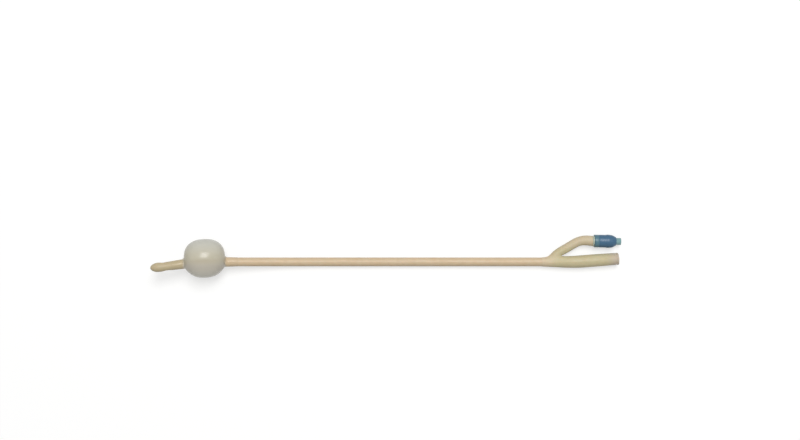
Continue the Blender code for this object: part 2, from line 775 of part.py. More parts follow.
def make_valve_stem(parts, cutters):
    """Poppet with a push pin in front, a flange that takes the spring and four guide fins behind."""
    outline = [
        (FIN_START, 0),
        (FIN_START, STEM_R),
        (FLANGE_START, STEM_R),
        (FLANGE_START, FLANGE_R),
        (FLANGE_END, FLANGE_R),
        (FLANGE_END, STEM_R),
        (STEM_TIP - STEM_CHAMFER, STEM_R),
        (STEM_TIP, STEM_R / 2),
        (STEM_TIP, 0),
    ]
    stem = turned("valve_stem", outline, BORE_SIDES, parts)
    fins = []
    length = FLANGE_START - FIN_START
    for name, size in (
        ("fins_across", (2 * FIN_REACH, FIN_THICK, length)),
        ("fins_upright", (FIN_THICK, 2 * FIN_REACH, length)),
    ):
        bm = bmesh.new()
        bmesh.ops.create_cube(bm, size=1.0)
        centre = Vector((0, 0, FIN_START + FIN_OVERLAP + length / 2))
        bmesh.ops.scale(bm, vec=size, verts=bm.verts)
        bmesh.ops.translate(bm, vec=centre, verts=bm.verts)
        mesh = bpy.data.meshes.new(name)
        bm.to_mesh(mesh)
        bm.free()
        fins.append(new_object(name, mesh, cutters))
    return boolean(stem, fins, "UNION")


def make_valve_seal(parts):
    """Rubber ring whose conical face closes on the housing's seat."""
    base = FLANGE_END + GAP
    section = [
        (base, SEAL_BORE_R),
        (base, SEAL_R),
        (base + SEAL_BAND, SEAL_R),
        (base + SEAL_ROUND, SEAL_R - SEAL_EDGE),
        (base + SEAL_THICK, SEAL_FRONT_R),
        (base + SEAL_THICK, SEAL_BORE_R),
    ]
    return turned("valve_seal", section, RING_SIDES, parts, closed=True)


def make_valve_spring(parts):
    """Coil spring whose end turns lie closer together than the rest."""
    count = SPRING_TURNS * SPRING_POINTS_PER_TURN
    points = []
    for k in range(count + 1):
        share = k / count
        turn = math.tau * SPRING_TURNS * share
        eased = share - SPRING_CLOSE * math.sin(math.tau * 2 * share)
        along = SPRING_START + (SPRING_END - SPRING_START) * eased
        points.append((SPRING_R * math.cos(turn), SPRING_R * math.sin(turn), along))
    return tube("valve_spring", points, [SPRING_WIRE_R] * len(points), 2, parts)


def main():
    clear_scene()
    parts = new_collection("foley_catheter")
    cutters = new_collection("cutters")
    latex = new_material("coated_latex", "CFC2A0", 0.45)
    skin = new_material("balloon_latex", "C6C1AE", 0.35)
    moulded = new_material("moulded_latex", "CCC39B", 0.5)
    pale = new_material("pale_plastic", "C9D6CB", 0.4)
    teal = new_material("teal_plastic", "8FBFBE", 0.35)
    blue = new_material("blue_sleeve_plastic", "466A86", 0.4)
    white = new_material("white_plastic", "E8E8E2", 0.4)
    rubber = new_material("seal_rubber", "2B2B2B", 0.6)
    steel = new_material("spring_steel", "B8BABC", 0.3, 1.0)

    finish(make_shaft(parts, cutters), latex)
    finish(make_balloon(parts), skin, 60.0)
    finish(make_bifurcation(parts, cutters), moulded, 50.0)

    valve_axis = bpy.data.objects.new("valve_axis", None)
    parts.objects.link(valve_axis)
    frame = valve_frame()
    valve_axis.location = frame.to_translation()
    valve_axis.rotation_euler = frame.to_euler()
    for obj, material in (
        (make_valve_tail(parts), pale),
        (make_colour_sleeve(parts), blue),
        (make_valve_housing(parts), teal),
        (make_valve_stem(parts, cutters), white),
        (make_valve_seal(parts), rubber),
        (make_valve_spring(parts), steel),
    ):
        finish(obj, material)
        obj.parent = valve_axis
    bpy.context.view_layer.update()


main()
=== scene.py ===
"""Looks of a two-way Foley urinary catheter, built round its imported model.

The catheter lies along X on the surface at Z = 0. The tube is swept along the line that it takes, the
filled balloon is spun and then leant and laid on that line, the branch moulding is a smoothed cage with its
passages cut, and the valve's pieces are turned.
"""

import math

import bmesh
import bpy
import numpy as np
from mathutils import Matrix, Vector


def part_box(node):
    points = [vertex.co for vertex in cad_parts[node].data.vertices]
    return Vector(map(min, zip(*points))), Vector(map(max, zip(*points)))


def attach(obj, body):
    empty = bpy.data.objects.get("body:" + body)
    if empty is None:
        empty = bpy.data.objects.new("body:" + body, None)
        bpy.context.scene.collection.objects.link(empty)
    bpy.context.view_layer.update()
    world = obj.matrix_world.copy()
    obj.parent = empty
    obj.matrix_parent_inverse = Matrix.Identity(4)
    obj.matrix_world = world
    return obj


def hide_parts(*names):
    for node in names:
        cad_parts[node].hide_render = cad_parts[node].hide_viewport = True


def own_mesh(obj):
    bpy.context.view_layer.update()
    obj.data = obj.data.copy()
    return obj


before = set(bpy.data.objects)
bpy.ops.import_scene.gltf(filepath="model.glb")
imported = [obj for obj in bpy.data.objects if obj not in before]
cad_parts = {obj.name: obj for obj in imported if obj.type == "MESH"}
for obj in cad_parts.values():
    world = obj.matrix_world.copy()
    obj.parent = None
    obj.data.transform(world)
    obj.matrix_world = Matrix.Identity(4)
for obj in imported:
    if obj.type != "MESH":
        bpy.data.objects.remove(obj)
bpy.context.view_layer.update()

bl_info = {
    "name": "Foley catheter",
    "version": (1, 0, 0),
    "blender": (4, 5, 0),
    "location": "View3D > Sidebar > Catheter",
    "description": "Builds a balloon catheter piece by piece on its packed model",
    "category": "Add Mesh",
}

MM = 0.001


def in_mm(*rows):
    """Rows of millimetres as rows of metres."""
    return [tuple(value * MM for value in row) for row in rows]


MAIN_BODY = "catheter"
POPPET_BODY = "poppet"

# The line that the shaft takes
AXIS_Y = -5.53 * MM
NECK_X = 140.35 * MM
SHAFT_REACH = 354.2 * MM
SHAFT_INSERT = 14.0 * MM
BALLOON_X = -164.55 * MM
BALLOON_AXIS_Z = 16.8 * MM
BALLOON_LIFT_LENGTH = 130.0 * MM
TIP_DROOP = 0.9 * MM
FUNNEL_SLOPE = 0.0248
NECK_Z = 4.77 * MM
RUN_END = NECK_X + 30.0 * MM
RUN_STEPS = 4000
SIDE_BEND = in_mm(  # x and sideways place of the shaft, seen from above
    (-230.0, -5.3),
    (-212.0, -4.6),
    (-200.0, -3.5),
    (-183.0, -1.3),
    (-165.0, -0.1),
    (-147.0, 0.3),
    (-120.0, 0.15),
    (-80.0, 0.0),
    (200.0, 0.0),
)
RUN_START = SIDE_BEND[0][0]
FRAME_STEP = 0.5 * MM  # how far to each side the shaft's direction is taken from
CORD_POINTS = 40

# Shaft, eyes and lumens
SHAFT_R = 4.0 * MM
TIP_R = 4.25 * MM
TIP_DOME = 7.5 * MM
TIP_WIDE_END = 9.0 * MM
TIP_TAPER_END = 12.0 * MM
DRAIN_R = 2.5 * MM
DRAIN_OFFSET = -0.55 * MM
DRAIN_START = 6.0 * MM
INFLATION_R = 0.45 * MM
INFLATION_OFFSET = 2.75 * MM
INFLATION_TIP_SIDE = 2.0 * MM
INFLATION_DRAIN_SIDE = 1.2 * MM
PORT_R = 0.6 * MM
SKIVE_X = 8.7 * MM
DRILL_OUTSIDE = SHAFT_R + 2.0 * MM
CUT_OVERRUN = 1.0 * MM
LUMEN_STEP = 4.0 * MM
DRAIN_SIDES = 32
INFLATION_SIDES = 12
DRILL_SIDES = 48
DOME_ANGLES = range(2, 91, 4)  # degrees round the tip's dome at which it has a ring
EYE_RINGS = np.arange(8.0, 19.0, 0.5)  # close rings at the eyes, in millimetres from the tip
RUN_RINGS = 20.0 * MM  # where the rings of the plain tube begin
EYE_LENGTH = 6.6 * MM
EYE_HEIGHT = 3.2 * MM
EYES = [("left_eye", 10.9 * MM, 1), ("right_eye", 14.7 * MM, -1)]
EYE_LIP = 0.55 * MM  # how far the dished edge of an eye spreads
EYE_LIP_START = 1.2 * MM  # how deep in the tube it begins to
EYE_LIP_HEIGHT = 1.6 * MM
EYE_LIP_STEPS = 8
EYE_BOTTOM = DRAIN_R / 3

# Balloon
BALLOON_PLACE = 48.1 * MM
BALLOON_HALF = 18.6 * MM
BALLOON_R = 17.5 * MM
BALLOON_FULLNESS = 2.3
BALLOON_LEAN = 3.8 * MM
BALLOON_WALL = 0.35 * MM
BALLOON_REST = 0.3 * MM  # how softly the skin turns onto the surface
BALLOON_POLE = 4.0  # degrees at each end that the cuffs take the place of
BAND_START = 1.3  # the band of the tube seen through the skin, in the tube's radii from its middle
BAND_FULL = 0.5
BAND_STRENGTH = 0.3
PAINTED_SHADE_START = 0.1  # where the painted shade below the highlight, and then the painted light of the near side, come in, in radii towards the near side
PAINTED_LIGHT_START = 0.4
CUFF_R = 4.35 * MM
CUFF_TIP_SIDE = 10.0 * MM
CUFF_DRAIN_SIDE = 10.0 * MM
CUFF_STEP = 0.4 * MM
CUFF_RINGS = 12
CUFF_FEATHER = 0.03 * MM  # how far the skin stands off the tube at a cuff's thin end
SEAT_R = 3.65 * MM
SEAT_STEP = 0.5 * MM
GAP = 0.3 * MM
TIP_PLACE = NECK_X - SHAFT_REACH  # places along the shaft, which equal x at the neck
BALLOON_MIDDLE = TIP_PLACE + BALLOON_PLACE
SEAT_START = BALLOON_MIDDLE - BALLOON_HALF - CUFF_TIP_SIDE - GAP
SEAT_END = BALLOON_MIDDLE + BALLOON_HALF + CUFF_DRAIN_SIDE + GAP

# Branch moulding, measured from its neck. A ring is x, y, heading in degrees, radius and, where it differs,
# upright radius, in millimetres.
FUNNEL_RINGS = [
    (0.0, 0.0, 0.0, 4.15),
    (0.4, 0.0, 0.0, 4.2),
    (6.0, 0.0, 0.0, 4.5),
    (11.4, 0.0, 0.0, 4.75),
    (18.0, 0.0, 0.0, 5.15),
    (25.5, 0.0, 0.0, 5.4),
    (32.0, 0.1, 2.0, 5.55),
    (41.0, 0.85, 4.2, 5.75),
    (55.0, 1.9, 4.2, 5.6),
    (65.8, 2.7, 4.2, 5.5),
    (66.6, 2.76, 4.2, 5.48),
    (67.1, 2.79, 4.2, 5.0),
    (67.6, 2.83, 4.2, 5.48),
    (68.6, 2.89, 4.2, 5.5),
    (69.1, 2.92, 4.2, 5.42),
    (69.2, 2.93, 4.2, 5.1),
]
FIRST_BRANCH_RING = 2
ARM_RINGS = [
    (13.7, 7.7, 62.0, 4.25, 4.3),
    (18.0, 10.2, 34.0, 4.05, 4.1),
    (22.3, 12.6, 30.0, 4.05),
    (26.7, 15.25, 30.0, 4.1),
    (31.2, 17.95, 24.0, 4.15),
    (35.5, 19.45, 10.0, 4.3),
    (40.5, 19.75, -2.0, 4.55),
    (45.2, 19.11, -1.15, 4.65),
    (45.6, 19.1, -1.15, 4.6),
    (45.7, 19.1, -1.15, 4.4),
]
CAGE_SWELL = 6 / (4 + 2 * math.cos(math.radians(45)))  # what smoothing takes off a ring
SOCKET_R = 4.03 * MM
DRAIN_BORE = in_mm(  # x, y and radius of the funnel's inside
    (12.0, 0.0, 2.6),
    (18.0, 0.0, 3.0),
    (32.0, 0.1, 3.5),
    (41.0, 0.85, 3.65),
    (55.0, 1.9, 3.88),
    (68.6, 2.89, 4.12),
    (69.1, 2.92, 4.3),
    (69.4, 2.95, 4.6),
)
ARM_BORE_R = 0.9 * MM
ARM_BORE = in_mm(  # x and y of the passage from the shaft to the valve
    (7.4, 2.9),
    (11.6, 6.3),
    (16.3, 9.3),
    (21.0, 11.9),
    (26.0, 14.85),
    (31.0, 17.75),
    (35.5, 19.2),
    (38.0, 19.25),
)
BORE_POINTS = 40
BORE_SIDES = 64
PASSAGE_SIDES = 32
ARM_LEVEL_START = 12.0 * MM
ARM_LEVEL_END = 38.0 * MM
TAIL_BORE_R = 2.9 * MM
TAIL_BORE_DEPTH = 10.5 * MM
TAIL_BORE_POINT = 1.5 * MM

# Inflation valve, measured outwards from the end of the arm
VALVE_X = 45.7 * MM
VALVE_Y = 19.1 * MM
VALVE_Z = 6.07 * MM
VALVE_HEADING = -1.15
TAIL_BARBS = 3
BARB_PITCH = 2.7 * MM
BARB_LENGTH = 1.9 * MM
BARB_R = 2.6 * MM
BARB_BACK = 0.05 * MM
FIRST_BARB = 0.2 * MM
TAIL_CHAMFER = 0.3 * MM
TAIL_R = 2.1 * MM
TAIL_BORE = 1.0 * MM
TAIL_LENGTH = 9.5 * MM
COLLAR_R = 4.9 * MM
COLLAR_START = 0.3 * MM
COLLAR_END = 1.4 * MM
PLUG_R = 2.8 * MM
PLUG_END = 5.0 * MM
HOUSING_START = 1.7 * MM
HOUSING_R = 4.2 * MM
CHAMBER_R = 3.1 * MM
SHOULDER_START = 16.2 * MM
CHAMBER_END = 16.4 * MM
SEAT_CONE_START = 16.7 * MM
SEAT_CONE_END = 17.7 * MM
SHOULDER_END = 18.6 * MM
NOZZLE_R = 3.2 * MM
NOZZLE_END = 25.8 * MM
LUER_MOUTH_R = 2.15 * MM
LUER_DEPTH = 7.2 * MM
LUER_TAPER = 0.03
THROAT_R = 1.2 * MM
THROAT_CONE = 0.5 * MM
SLEEVE_R = 5.75 * MM
SLEEVE_RING_R = 6.05 * MM
SLEEVE_BORE_R = 4.5 * MM
SLEEVE_GROOVE = 5.9 * MM
SLEEVE_GROOVE_WIDTH = 0.9 * MM
SLEEVE_GROOVE_DEPTH = 0.2 * MM
SLEEVE_RING_START = 11.8 * MM
SLEEVE_RING_END = 16.6 * MM
SLEEVE_SHOULDER = 17.4 * MM
SLEEVE_END = 21.4 * MM
SLEEVE_LIP_R = 3.8 * MM
SLEEVE_FIT = 0.1 * MM
GROOVE_STEPS = 8
RING_STEPS = 12
SHOULDER_CURVE = 1.3
STEM_R = 0.65 * MM
STEM_TIP = 21.5 * MM
STEM_CHAMFER = 0.3 * MM
FLANGE_R = 2.6 * MM
FLANGE_START = 14.2 * MM
FLANGE_END = 15.0 * MM
FIN_REACH = 1.6 * MM
FIN_THICK = 0.7 * MM
FIN_START = 7.2 * MM
FIN_OVERLAP = 0.2 * MM
SEAL_R = 2.3 * MM
SEAL_BORE_R = 0.95 * MM
SEAL_FRONT_R = 1.15 * MM
SEAL_BAND = 0.7 * MM
SEAL_EDGE = 0.05 * MM
SEAL_ROUND = 1.05 * MM
SEAL_THICK = 1.95 * MM
SPRING_R = 2.3 * MM
SPRING_WIRE_R = 0.2 * MM
SPRING_START = 5.55 * MM
SPRING_END = 13.65 * MM
SPRING_TURNS = 7
SPRING_POINTS_PER_TURN = 32
SPRING_SIDES = 12
SPRING_CLOSE = 0.045  # how much closer its end and middle turns lie

# Mesh work, plastics and stage
WELD = 0.0002 * MM
TURN_WELD = 0.001 * MM
PLASTIC_DEPTH = 0.86  # how dark a moulding's deeper tone is beside its own
PLASTIC_SHEEN = 0.08  # how far its roughness goes to each side
WHITE = (1.0, 1.0, 1.0, 1.0)
TABLE_HALF = 4.0
TABLE_DROP = 0.05 * MM
SOFTBOX_SIZE = (1.25, 1.7)
SOFTBOX_PLACE = Vector((0.3, 1.14, 3.0))
CAMERA_X = 10.95 * MM
CAMERA_Y = AXIS_Y + 38.2 * MM
CAMERA_NEAR = 0.01


def colour(code):
    """Turn an sRGB hex colour into the linear values a shader takes."""
    channels = [int(code[i : i + 2], 16) / 255 for i in (0, 2, 4)]
    return [c / 12.92 if c <= 0.04045 else ((c + 0.055) / 1.055) ** 2.4 for c in channels]


def colour_property(name, description, code):
    return bpy.props.FloatVectorProperty(
        name=name, description=description, subtype="COLOR", min=0.0, max=1.0, default=colour(code)
    )


def number_property(name, description, default, **options):
    kind = bpy.props.IntProperty if isinstance(default, int) else bpy.props.FloatProperty
    return kind(name=name, description=description, default=default, **options)


class ShaftSettings(bpy.types.PropertyGroup):
    sides: number_property("Sides", "Facets round the tube", 64, min=12, max=256)
    ring_spacing: number_property(
        "Ring spacing", "Distance between rings of the tube", 2.0 * MM, unit="LENGTH"
    )
    tone: colour_property("Latex", "Colour of the coated latex", "E2CCAC")
    deep_tone: colour_property("Deep latex", "Colour where the latex is thicker", "D3B995")
    # The tip tone gives the tube beyond the balloon a darker tone, blended in along X.
    tip_tone: colour_property("Tip", "Colour of the stiffer tip beyond the balloon", "C9B996")


class BalloonSettings(bpy.types.PropertyGroup):
    sides: number_property("Sides", "Facets round the balloon", 112, min=24, max=256)
    rings: number_property("Rings", "Rings along the balloon", 72, min=16, max=256)
    tone: colour_property("Skin", "Colour of the stretched skin", "D3CDB9")
    cloud_tone: colour_property("Cloud", "Colour of the skin's thicker clouds", "C8C1AB")
    # The next three tones are light and shade painted across the skin by how the lamp falls: painted light
    # on the side turned to the lamp, painted shade just below the highlight, painted light on the near
    # side.
    far_side_painted_light: colour_property("Far side", "Greyer tone of the side turned to the lamp", "D4D3C9")
    painted_shade_below_highlight: colour_property("Below the shine", "Duller tone just below the highlight", "CFC8B9")
    near_side_painted_light: colour_property("Near side", "Paler tone where light comes out of the water", "EAE6D8")
    band_tone: colour_property("Band", "Colour where the tube shows through the skin", "C4B49C")


class MouldingSettings(bpy.types.PropertyGroup):
    smoothing: number_property("Smoothing", "Subdivision levels of the moulding", 3, min=1, max=4)
    tone: colour_property("Latex", "Colour of the moulded latex", "D6CBA7")
    deep_tone: colour_property("Deep latex", "Colour of its darker clouds", "C7BB91")
    arm_tone: colour_property("Arm", "Colour of the arm's end, stretched over the plug", "D6C6A6")
    mouth_tone: colour_property("Mouth", "Colour of the moulding's thin end", "CCBEAA")


class ValveSettings(bpy.types.PropertyGroup):
    sides: number_property("Sides", "Facets round a turned piece", 96, min=16, max=256)
    edge: number_property("Edge", "Rounding of a moulded edge", 0.12 * MM, unit="LENGTH")
    sleeve_tone: colour_property("Sleeve", "Blue that codes the catheter's size", "3F6989")
    sleeve_end_tone: colour_property("Sleeve's end", "Greener blue at the arm's end", "557C8A")
    body_tone: colour_property("Body", "Colour of the valve's body", "85ADB1")
    collar_tone: colour_property("Collar", "Colour of the plug's collar", "D3DDCB")
    works_tone: colour_property("Poppet", "Colour of the poppet", "E8E8E2")
    seal_tone: colour_property("Seal", "Colour of the rubber seal", "2B2B2B")
    spring_tone: colour_property("Spring", "Colour of the spring's steel", "C4C6C8")


class StageSettings(bpy.types.PropertyGroup):
    camera_height: number_property("Camera height", "Camera above the surface", 0.95, unit="LENGTH")
    focal_length: number_property(
        "Focal length", "Focal length in millimetres on a 36 mm wide frame", 46.64
    )
    lamp_power: number_property("Softbox power", "Power of the softbox in watts", 67.0)
    sky: number_property("Room light", "Strength of the light from all sides", 0.29)
    lift: number_property("Lift", "How far the surface is lit up for the camera alone", 0.6)
    floor_tone: colour_property("Surface", "Colour of the surface", "BABAB9")


def settings(name):
    return getattr(bpy.context.scene, "catheter_" + name)


def set_inputs(node, inputs):
    """Give each input its value or a link; a node given as a value stands for its first output."""
    for name, value in inputs.items():
        if isinstance(value, bpy.types.Node):
            value = value.outputs[0]
        if isinstance(value, bpy.types.NodeSocket):
            node.id_data.links.new(value, node.inputs[name])
        else:
            node.inputs[name].default_value = value


def add_node(tree, kind, inputs=None, **options):
    """Add a node with its options and inputs."""
    node = tree.nodes.new(kind)
    for name, value in options.items():
        setattr(node, name, value)
    set_inputs(node, inputs or {})
    return node


def new_object(name, mesh):
    obj = bpy.data.objects.new(name, mesh)
    bpy.context.scene.collection.objects.link(obj)
    return obj


def plot(name, points, edges=(), faces=()):
    """Object of points, with the edges or faces between them."""
    mesh = bpy.data.meshes.new(name)
    mesh.from_pydata(points, edges, faces)
    return new_object(name, mesh)


def tidy_mesh(mesh):
    """Weld coincident points, close open rims and turn every face outwards."""
    bm = bmesh.new()
    bm.from_mesh(mesh)
    bmesh.ops.remove_doubles(bm, verts=bm.verts, dist=WELD)
    rims = [edge for edge in bm.edges if edge.is_boundary]
    if rims:
        bmesh.ops.holes_fill(bm, edges=rims, sides=0)
    bmesh.ops.recalc_face_normals(bm, faces=bm.faces)
    bm.to_mesh(mesh)
    bm.free()


def settle(obj):
    """Replace an object's mesh with what its modifiers make of it, tidied."""
    depsgraph = bpy.context.evaluated_depsgraph_get()
    made = bpy.data.meshes.new_from_object(obj.evaluated_get(depsgraph))
    old = obj.data
    obj.modifiers.clear()
    obj.data = made
    bpy.data.meshes.remove(old)
    tidy_mesh(made)
    return obj


def modified(obj, kind, **options):
    """Give an object a modifier with its options, and settle it."""
    modifier = obj.modifiers.new(kind.lower(), kind)
    for name, value in options.items():
        setattr(modifier, name, value)
    return settle(obj)


def move_points(obj, place):
    for vertex in obj.data.vertices:
        vertex.co = place(vertex.co)
    obj.data.update()


def spun(name, profile, sides, closed=False):
    """Spin a profile of (place along Z, radius) points about Z; a closed one is a ring's section."""
    edges = [(i, i + 1) for i in range(len(profile) - 1)]
    if closed:
        edges.append((len(profile) - 1, 0))
    obj = plot(name, [(r, 0.0, along) for along, r in profile], edges)
    steps = {"steps": sides, "render_steps": sides}
    return modified(obj, "SCREW", axis="Z", use_merge_vertices=True, merge_threshold=TURN_WELD, **steps)


def combine(obj, tools, operation="DIFFERENCE"):
    """Cut the tools out of an object, or join them to it, and remove them."""
    for tool in tools:
        modifier = obj.modifiers.new(tool.name, "BOOLEAN")
        modifier.solver = "EXACT"
        modifier.operation = operation
        modifier.object = tool
    bpy.context.view_layer.update()
    settle(obj)
    for tool in tools:
        bpy.data.objects.remove(tool)
    return obj


def sweep_tree():
    """Node tree that sweeps a round section along a line of points, with a radius at each point."""
    name = "tube_along_line"
    if name in bpy.data.node_groups:
        return bpy.data.node_groups[name]
    tree = bpy.data.node_groups.new(name, "GeometryNodeTree")
    for label, kind, way in (
        ("Geometry", "NodeSocketGeometry", "INPUT"),
        ("Sides", "NodeSocketInt", "INPUT"),
        ("Weld", "NodeSocketFloat", "INPUT"),
        ("Material", "NodeSocketMaterial", "INPUT"),
        ("Geometry", "NodeSocketGeometry", "OUTPUT"),
    ):
        tree.interface.new_socket(label, in_out=way, socket_type=kind)
    given = add_node(tree, "NodeGroupInput").outputs
    line = add_node(tree, "GeometryNodeMeshToCurve", {"Mesh": given["Geometry"]})
    radius = add_node(tree, "GeometryNodeInputNamedAttribute", {"Name": "tube_radius"}, data_type="FLOAT")
    section = add_node(
        tree, "GeometryNodeCurvePrimitiveCircle", {"Resolution": given["Sides"], "Radius": 1.0}
    )
    tube = add_node(
        tree,
        "GeometryNodeCurveToMesh",
        {"Curve": line, "Profile Curve": section, "Scale": radius, "Fill Caps": True},
    )
    welded = add_node(tree, "GeometryNodeMergeByDistance", {"Geometry": tube, "Distance": given["Weld"]})
    smooth = add_node(tree, "GeometryNodeSetShadeSmooth", {"Geometry": welded})
    real = add_node(tree, "GeometryNodeRealizeInstances", {"Geometry": smooth})
    painted = add_node(tree, "GeometryNodeSetMaterial", {"Geometry": real, "Material": given["Material"]})
    add_node(tree, "NodeGroupOutput", {"Geometry": painted})
    return tree


def swept(name, points, radii, sides, material=None):
    """Closed tube along points with a radius at each."""
    obj = plot(name, points, [(i, i + 1) for i in range(len(points) - 1)])
    obj.data.attributes.new("tube_radius", "FLOAT", "POINT").data.foreach_set("value", radii)
    modifier = obj.modifiers.new("sweep", "NODES")
    tree = sweep_tree()
    modifier.node_group = tree
    values = {"Sides": sides, "Weld": WELD, "Material": material}
    for item in tree.interface.items_tree:
        if item.in_out == "INPUT" and item.name in values:
            modifier[item.identifier] = values[item.name]
    return settle(obj)


def shares(steps):
    """Even steps from 0 to 1."""
    return [k / steps for k in range(steps + 1)]


def smooth_value(rows, x, column=1):
    """Value at x of the smooth curve through a column of rows that begin with their x."""
    last = len(rows) - 1
    x = min(max(x, rows[0][0]), rows[last][0])
    i = next(k for k in range(last) if x <= rows[k + 1][0])
    near, far = rows[i], rows[i + 1]

    def slope(k):
        before, after = rows[max(k - 1, 0)], rows[min(k + 1, last)]
        return (after[column] - before[column]) / (after[0] - before[0])

    width = far[0] - near[0]
    t = (x - near[0]) / width
    start = (2 * t**3 - 3 * t**2 + 1) * near[column] + (t**3 - 2 * t**2 + t) * width * slope(i)
    end = (3 * t**2 - 2 * t**3) * far[column] + (t**3 - t**2) * width * slope(i + 1)
    return start + end


def lifted(share):
    """Share of the full lift of a heavy strip raised at one end, at a share of the lifted length."""
    return 2 * share**3 - share**4


def shaft_height(x):
    """Height of the shaft's axis: lifted by the balloon at one end and the moulding at the other."""
    balloon_lift = BALLOON_AXIS_Z - SHAFT_R
    touch_down = BALLOON_X + BALLOON_LIFT_LENGTH
    neck_lift = NECK_Z - SHAFT_R
    neck_length = 2 * neck_lift / FUNNEL_SLOPE
    if x < BALLOON_X:
        beyond = BALLOON_X - x
        rise = 2 * balloon_lift / BALLOON_LIFT_LENGTH
        return BALLOON_AXIS_Z + rise * beyond - TIP_DROOP * (beyond / BALLOON_PLACE) ** 2
    if x < touch_down:
        return SHAFT_R + balloon_lift * lifted((touch_down - x) / BALLOON_LIFT_LENGTH)
    if x > NECK_X:
        return NECK_Z + FUNNEL_SLOPE * (x - NECK_X)
    if x > NECK_X - neck_length:
        return SHAFT_R + neck_lift * lifted((x - NECK_X + neck_length) / neck_length)
    return SHAFT_R


def shaft_point(x):
    return Vector((x, AXIS_Y + smooth_value(SIDE_BEND, x), shaft_height(x)))


def make_run():
    """Table of x against length along the shaft, which equals x where the shaft meets the moulding."""
    xs = np.linspace(RUN_END, RUN_START, RUN_STEPS + 1)
    points = np.array([shaft_point(x) for x in xs])
    steps = np.linalg.norm(np.diff(points, axis=0), axis=1)
    along = xs[0] - np.concatenate([[0.0], np.cumsum(steps)])
    along += NECK_X - np.interp(-NECK_X, -xs, along)
    return xs[::-1], along[::-1]


RUN_X, RUN_ALONG = make_run()


def frame_at(place, *axes):
    """Frame at a place whose three axes point in given directions."""
    made = Matrix(axes).transposed().to_4x4()
    made.translation = place
    return made


def shaft_frame(along):
    """Place and directions of the laid shaft: forwards, to its left and up."""
    x = float(np.interp(along, RUN_ALONG, RUN_X))
    forward = (shaft_point(x + FRAME_STEP) - shaft_point(x - FRAME_STEP)).normalized()
    left = Vector((0.0, 0.0, 1.0)).cross(forward).normalized()
    return frame_at(shaft_point(x), forward, left, forward.cross(left))


def on_shaft(point):
    """Where a point of a straight shape, made along X, comes on the laid shaft."""
    return shaft_frame(point.x) @ Vector((0.0, point.y, point.z))


def shaft_radius(along):
    """Outside radius of the tube at a place along it."""
    from_tip = along - TIP_PLACE
    if from_tip < TIP_DOME:
        return TIP_R * math.sqrt(max(1 - (1 - from_tip / TIP_DOME) ** 2, 0.0))
    steps = [
        (TIP_PLACE + TIP_WIDE_END, TIP_R),
        (TIP_PLACE + TIP_TAPER_END, SHAFT_R),
        (SEAT_START - SEAT_STEP, SHAFT_R),
        (SEAT_START, SEAT_R),
        (SEAT_END, SEAT_R),
        (SEAT_END + SEAT_STEP, SHAFT_R),
    ]
    return float(np.interp(along, [place for place, r in steps], [r for place, r in steps]))


def shaft_places(spacing):
    """Places of the tube's rings: close on the dome and at the eyes, wider beyond."""
    dome = [TIP_DOME * (1 - math.cos(math.radians(angle))) for angle in DOME_ANGLES]
    eyes = [place * MM for place in EYE_RINGS]
    steps = [SEAT_START - SEAT_STEP, SEAT_START, SEAT_END, SEAT_END + SEAT_STEP]
    run = np.arange(TIP_PLACE + RUN_RINGS, NECK_X + SHAFT_INSERT, spacing)
    places = [TIP_PLACE + place for place in dome + eyes] + steps + list(run)
    return sorted(places) + [NECK_X + SHAFT_INSERT]


def lumen(name, offset, radius, start, end, sides):
    """Cutter for a passage that runs beside the shaft's axis."""
    places = np.append(np.arange(start, end, LUMEN_STEP), end)
    points = [shaft_frame(place) @ Vector((0.0, offset, 0.0)) for place in places]
    return swept(name, points, [radius] * len(points), sides)


def rod(start, end, radius):
    """Profile of a plain rod."""
    return [(start, 0.0), (start, radius), (end, radius), (end, 0.0)]


def side_drill(name, profile, along, side=1, stretch=1.0):
    """Drill with a profile of (distance from the axis, radius) into the shaft's side."""
    drill = spun(name, profile, DRILL_SIDES)
    move_points(drill, lambda p: shaft_frame(along) @ Vector((stretch * p.x, side * p.z, p.y)))
    tidy_mesh(drill.data)
    return drill


def port_cutter(name, along, radius):
    """Round drill from the inflation lumen out through the tube's left side."""
    return side_drill(name, rod(INFLATION_OFFSET, DRILL_OUTSIDE, radius), along)


def eye_cutter(name, place, side):
    """Oval drill for a drainage eye, flared where it leaves the tube so that the eye's edge is dished."""
    eye_r = EYE_HEIGHT / 2
    profile = [(EYE_BOTTOM, 0.0), (EYE_BOTTOM, eye_r)]
    for share in shares(EYE_LIP_STEPS):
        depth = SHAFT_R - EYE_LIP_START + share * EYE_LIP_HEIGHT
        profile.append((depth, eye_r + EYE_LIP * (1 - math.sqrt(1 - share**2))))
    profile += [(DRILL_OUTSIDE, eye_r + EYE_LIP), (DRILL_OUTSIDE, 0.0)]
    return side_drill(name, profile, TIP_PLACE + place, side, EYE_LENGTH / EYE_HEIGHT)


def shade(obj, material, angle=40.0):
    obj.data.materials.clear()
    obj.data.materials.append(material)
    obj.data.shade_smooth()
    obj.data.set_sharp_from_angle(angle=math.radians(angle))


def object_from(bm, name):
    """Turn finished mesh work into an object."""
    mesh = bpy.data.meshes.new(name)
    bm.to_mesh(mesh)
    bm.free()
    return new_object(name, mesh)


def place_piece(obj, node, body=MAIN_BODY):
    """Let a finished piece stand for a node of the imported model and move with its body."""
    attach(obj, body)
    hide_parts(node)
    return obj


def new_material(name):
    material = bpy.data.materials.new(name)
    material.use_nodes = True
    tree = material.node_tree
    return material, tree, tree.nodes["Principled BSDF"]


def rgba(tone):
    return (*tone, 1.0)


def object_point(tree, stretch=(1.0, 1.0, 1.0)):
    """Object coordinates in metres, squeezed along each axis."""
    where = add_node(tree, "ShaderNodeTexCoord")
    return add_node(tree, "ShaderNodeMapping", {"Vector": where.outputs["Object"], "Scale": stretch})


def split_axes(tree, kind="Object"):
    """Object coordinates in metres, or the direction of the surface, axis by axis."""
    where = add_node(tree, "ShaderNodeTexCoord")
    return add_node(tree, "ShaderNodeSeparateXYZ", {0: where.outputs[kind]}).outputs


